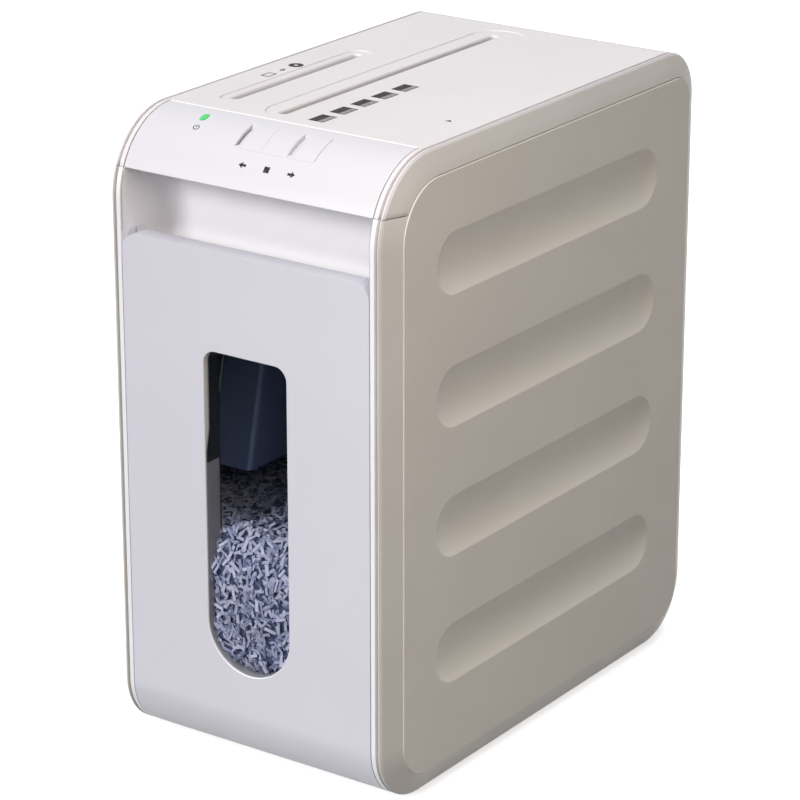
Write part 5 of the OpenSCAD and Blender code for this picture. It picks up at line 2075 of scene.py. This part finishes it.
@dataclass
class Studio:
    """White sweep, soft even light and the camera.

    The camera's angles are in radians, its target, distance and lens in millimetres, the soft box in metres.
    """

    target: Point3 = (-9.463, 0.0, 193.037)
    azimuth: float = 0.61167502
    elevation: float = 0.35186101
    distance: float = 2160.12
    lens: float = 153.566
    reach: float = 4.0
    suns: tuple[tuple[str, float, float, Point3], ...] = (
        ("front sun", 2.05, 24, (66, 0, -20)),
        ("roof sun", 1.5, 30, (6, 10, 0)),
    )
    box_power: float = 1.3
    box_size: float = 0.4
    box_at: Point3 = (0.46, -0.46, 0.62)
    box_to: Point3 = (0.1, -0.1, 0.2)

    def background(self) -> None:
        """Light evenly from all round, and show plain white to camera, glass and metal."""
        world = bpy.data.worlds.new("studio air")
        bpy.context.scene.world = world
        world.use_nodes = True
        tree = world.node_tree
        tree.nodes.clear()
        light = add(tree, "ShaderNodeBackground", inputs={"Color": linear("#FCFCFF"), "Strength": 0.14})
        white = add(tree, "ShaderNodeBackground", inputs={"Color": WHITE, "Strength": 1.0})
        add(tree, "ShaderNodeOutputWorld", inputs={0: shown_or_lit(tree, light.outputs[0], white.outputs[0])})

    def floor(self) -> None:
        """Lay a pale floor that shows white and keeps the shadow."""
        mesh = bpy.data.meshes.new("sweep")
        r = self.reach
        mesh.from_pydata([(-r, -r, 0), (r, -r, 0), (r, r, 0), (-r, r, 0)], [], [(0, 1, 2, 3)])
        # Matt white paper: near white to the camera, darker to the light, so that it throws little back up
        paint = bpy.data.materials.new("paper sweep, matt white")
        paint.use_nodes = True
        tree = paint.node_tree
        tree.nodes.clear()
        matt = add(tree, "ShaderNodeBsdfDiffuse", inputs={"Color": linear("#F4F4F4")})
        dull = add(tree, "ShaderNodeBsdfDiffuse", inputs={"Color": linear("#767370")})
        glow = add(tree, "ShaderNodeEmission", inputs={"Color": WHITE, "Strength": 0.68})
        both = add(tree, "ShaderNodeAddShader", inputs={0: matt.outputs[0], 1: glow.outputs[0]})
        mixed = shown_or_lit(tree, dull.outputs[0], both.outputs[0])
        add(tree, "ShaderNodeOutputMaterial", inputs={0: mixed})
        mesh.materials.append(paint)
        link("sweep", mesh)

    def lamps(self) -> None:
        """Hang a low sun at the front left, a weaker one overhead and a warm soft box at the front right."""
        for name, power, spread, turn in self.suns:
            sun = bpy.data.lights.new(name, "SUN")
            sun.energy, sun.angle = power, math.radians(spread)
            link(name, sun).rotation_euler = Euler([math.radians(a) for a in turn], "XYZ")
        box = bpy.data.lights.new("soft box", "AREA")
        box.energy, box.size, box.color = self.box_power, self.box_size, linear("#FFF1E4")[:3]
        lamp = link("soft box", box)
        lamp.location = self.box_at
        lamp.rotation_mode = "QUATERNION"
        lamp.rotation_quaternion = (Vector(self.box_to) - Vector(self.box_at)).to_track_quat("-Z", "Y")

    def camera(self) -> None:
        """Set the camera at the front right, a little above the object."""
        a, e = self.azimuth, self.elevation
        back = Vector((math.sin(a) * math.cos(e), -math.cos(a) * math.cos(e), math.sin(e)))
        data = bpy.data.cameras.new("camera")
        data.sensor_width, data.lens = 36.0, self.lens
        data.clip_start, data.clip_end = 0.05, 50.0
        piece = link("camera", data)
        piece.location = (Vector(self.target) + back * self.distance) * MM
        piece.rotation_mode = "QUATERNION"
        piece.rotation_quaternion = (-back).to_track_quat("-Z", "Y")
        bpy.context.scene.camera = piece

    def build(self) -> None:
        """Set up the whole studio."""
        self.background()
        self.floor()
        self.lamps()
        self.camera()
        bpy.context.scene.view_settings.view_transform = "Standard"


# ------------------------------------------------------------------ the whole object


def main() -> None:
    """Build the shredder and its studio."""
    logging.basicConfig(level=logging.INFO, format="%(name)s: %(message)s")
    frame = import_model()
    slots = {row["node"]: row["material_slot"] for row in frame["record"]["subparts"]}
    panel_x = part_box("right_side_panel")[1].x / MM
    half_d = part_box("right_side_panel")[1].y / MM
    body = SideOutline(half_d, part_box("base_plate")[0].z / MM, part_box("top_cover")[1].z / MM)
    broken = {"drawer_front": 1.3, "rear_panel": 0.0, "base_plate": 0.4}
    broken |= {node: 0.0 for node in ("motor_rotor", "motor_fan", "control_board")}
    Machined(frame["nodes"], slots, broken).dress()
    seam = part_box("control_strip")[0].z / MM
    trim = Trim()
    SidePanels(body, trim, panel_x, seam).build()
    tray = [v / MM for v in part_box("head_tray")]
    SideFrames(body, trim, seam, tray[0].z, (body.front()[0], tray[1].y)).build()
    Lid(body, trim, seam).build()
    Strip(body).build()
    Recess(body).build()
    Window(-body.half_d).build()
    ScrapBox(*(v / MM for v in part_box("disc_scrap_box"))).build()
    PaperHeap(*(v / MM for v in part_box("shredded_paper"))).build()
    Signs(body).build()
    TileRow(body.top).build()
    Studio().build()


if __name__ == "__main__":
    main()
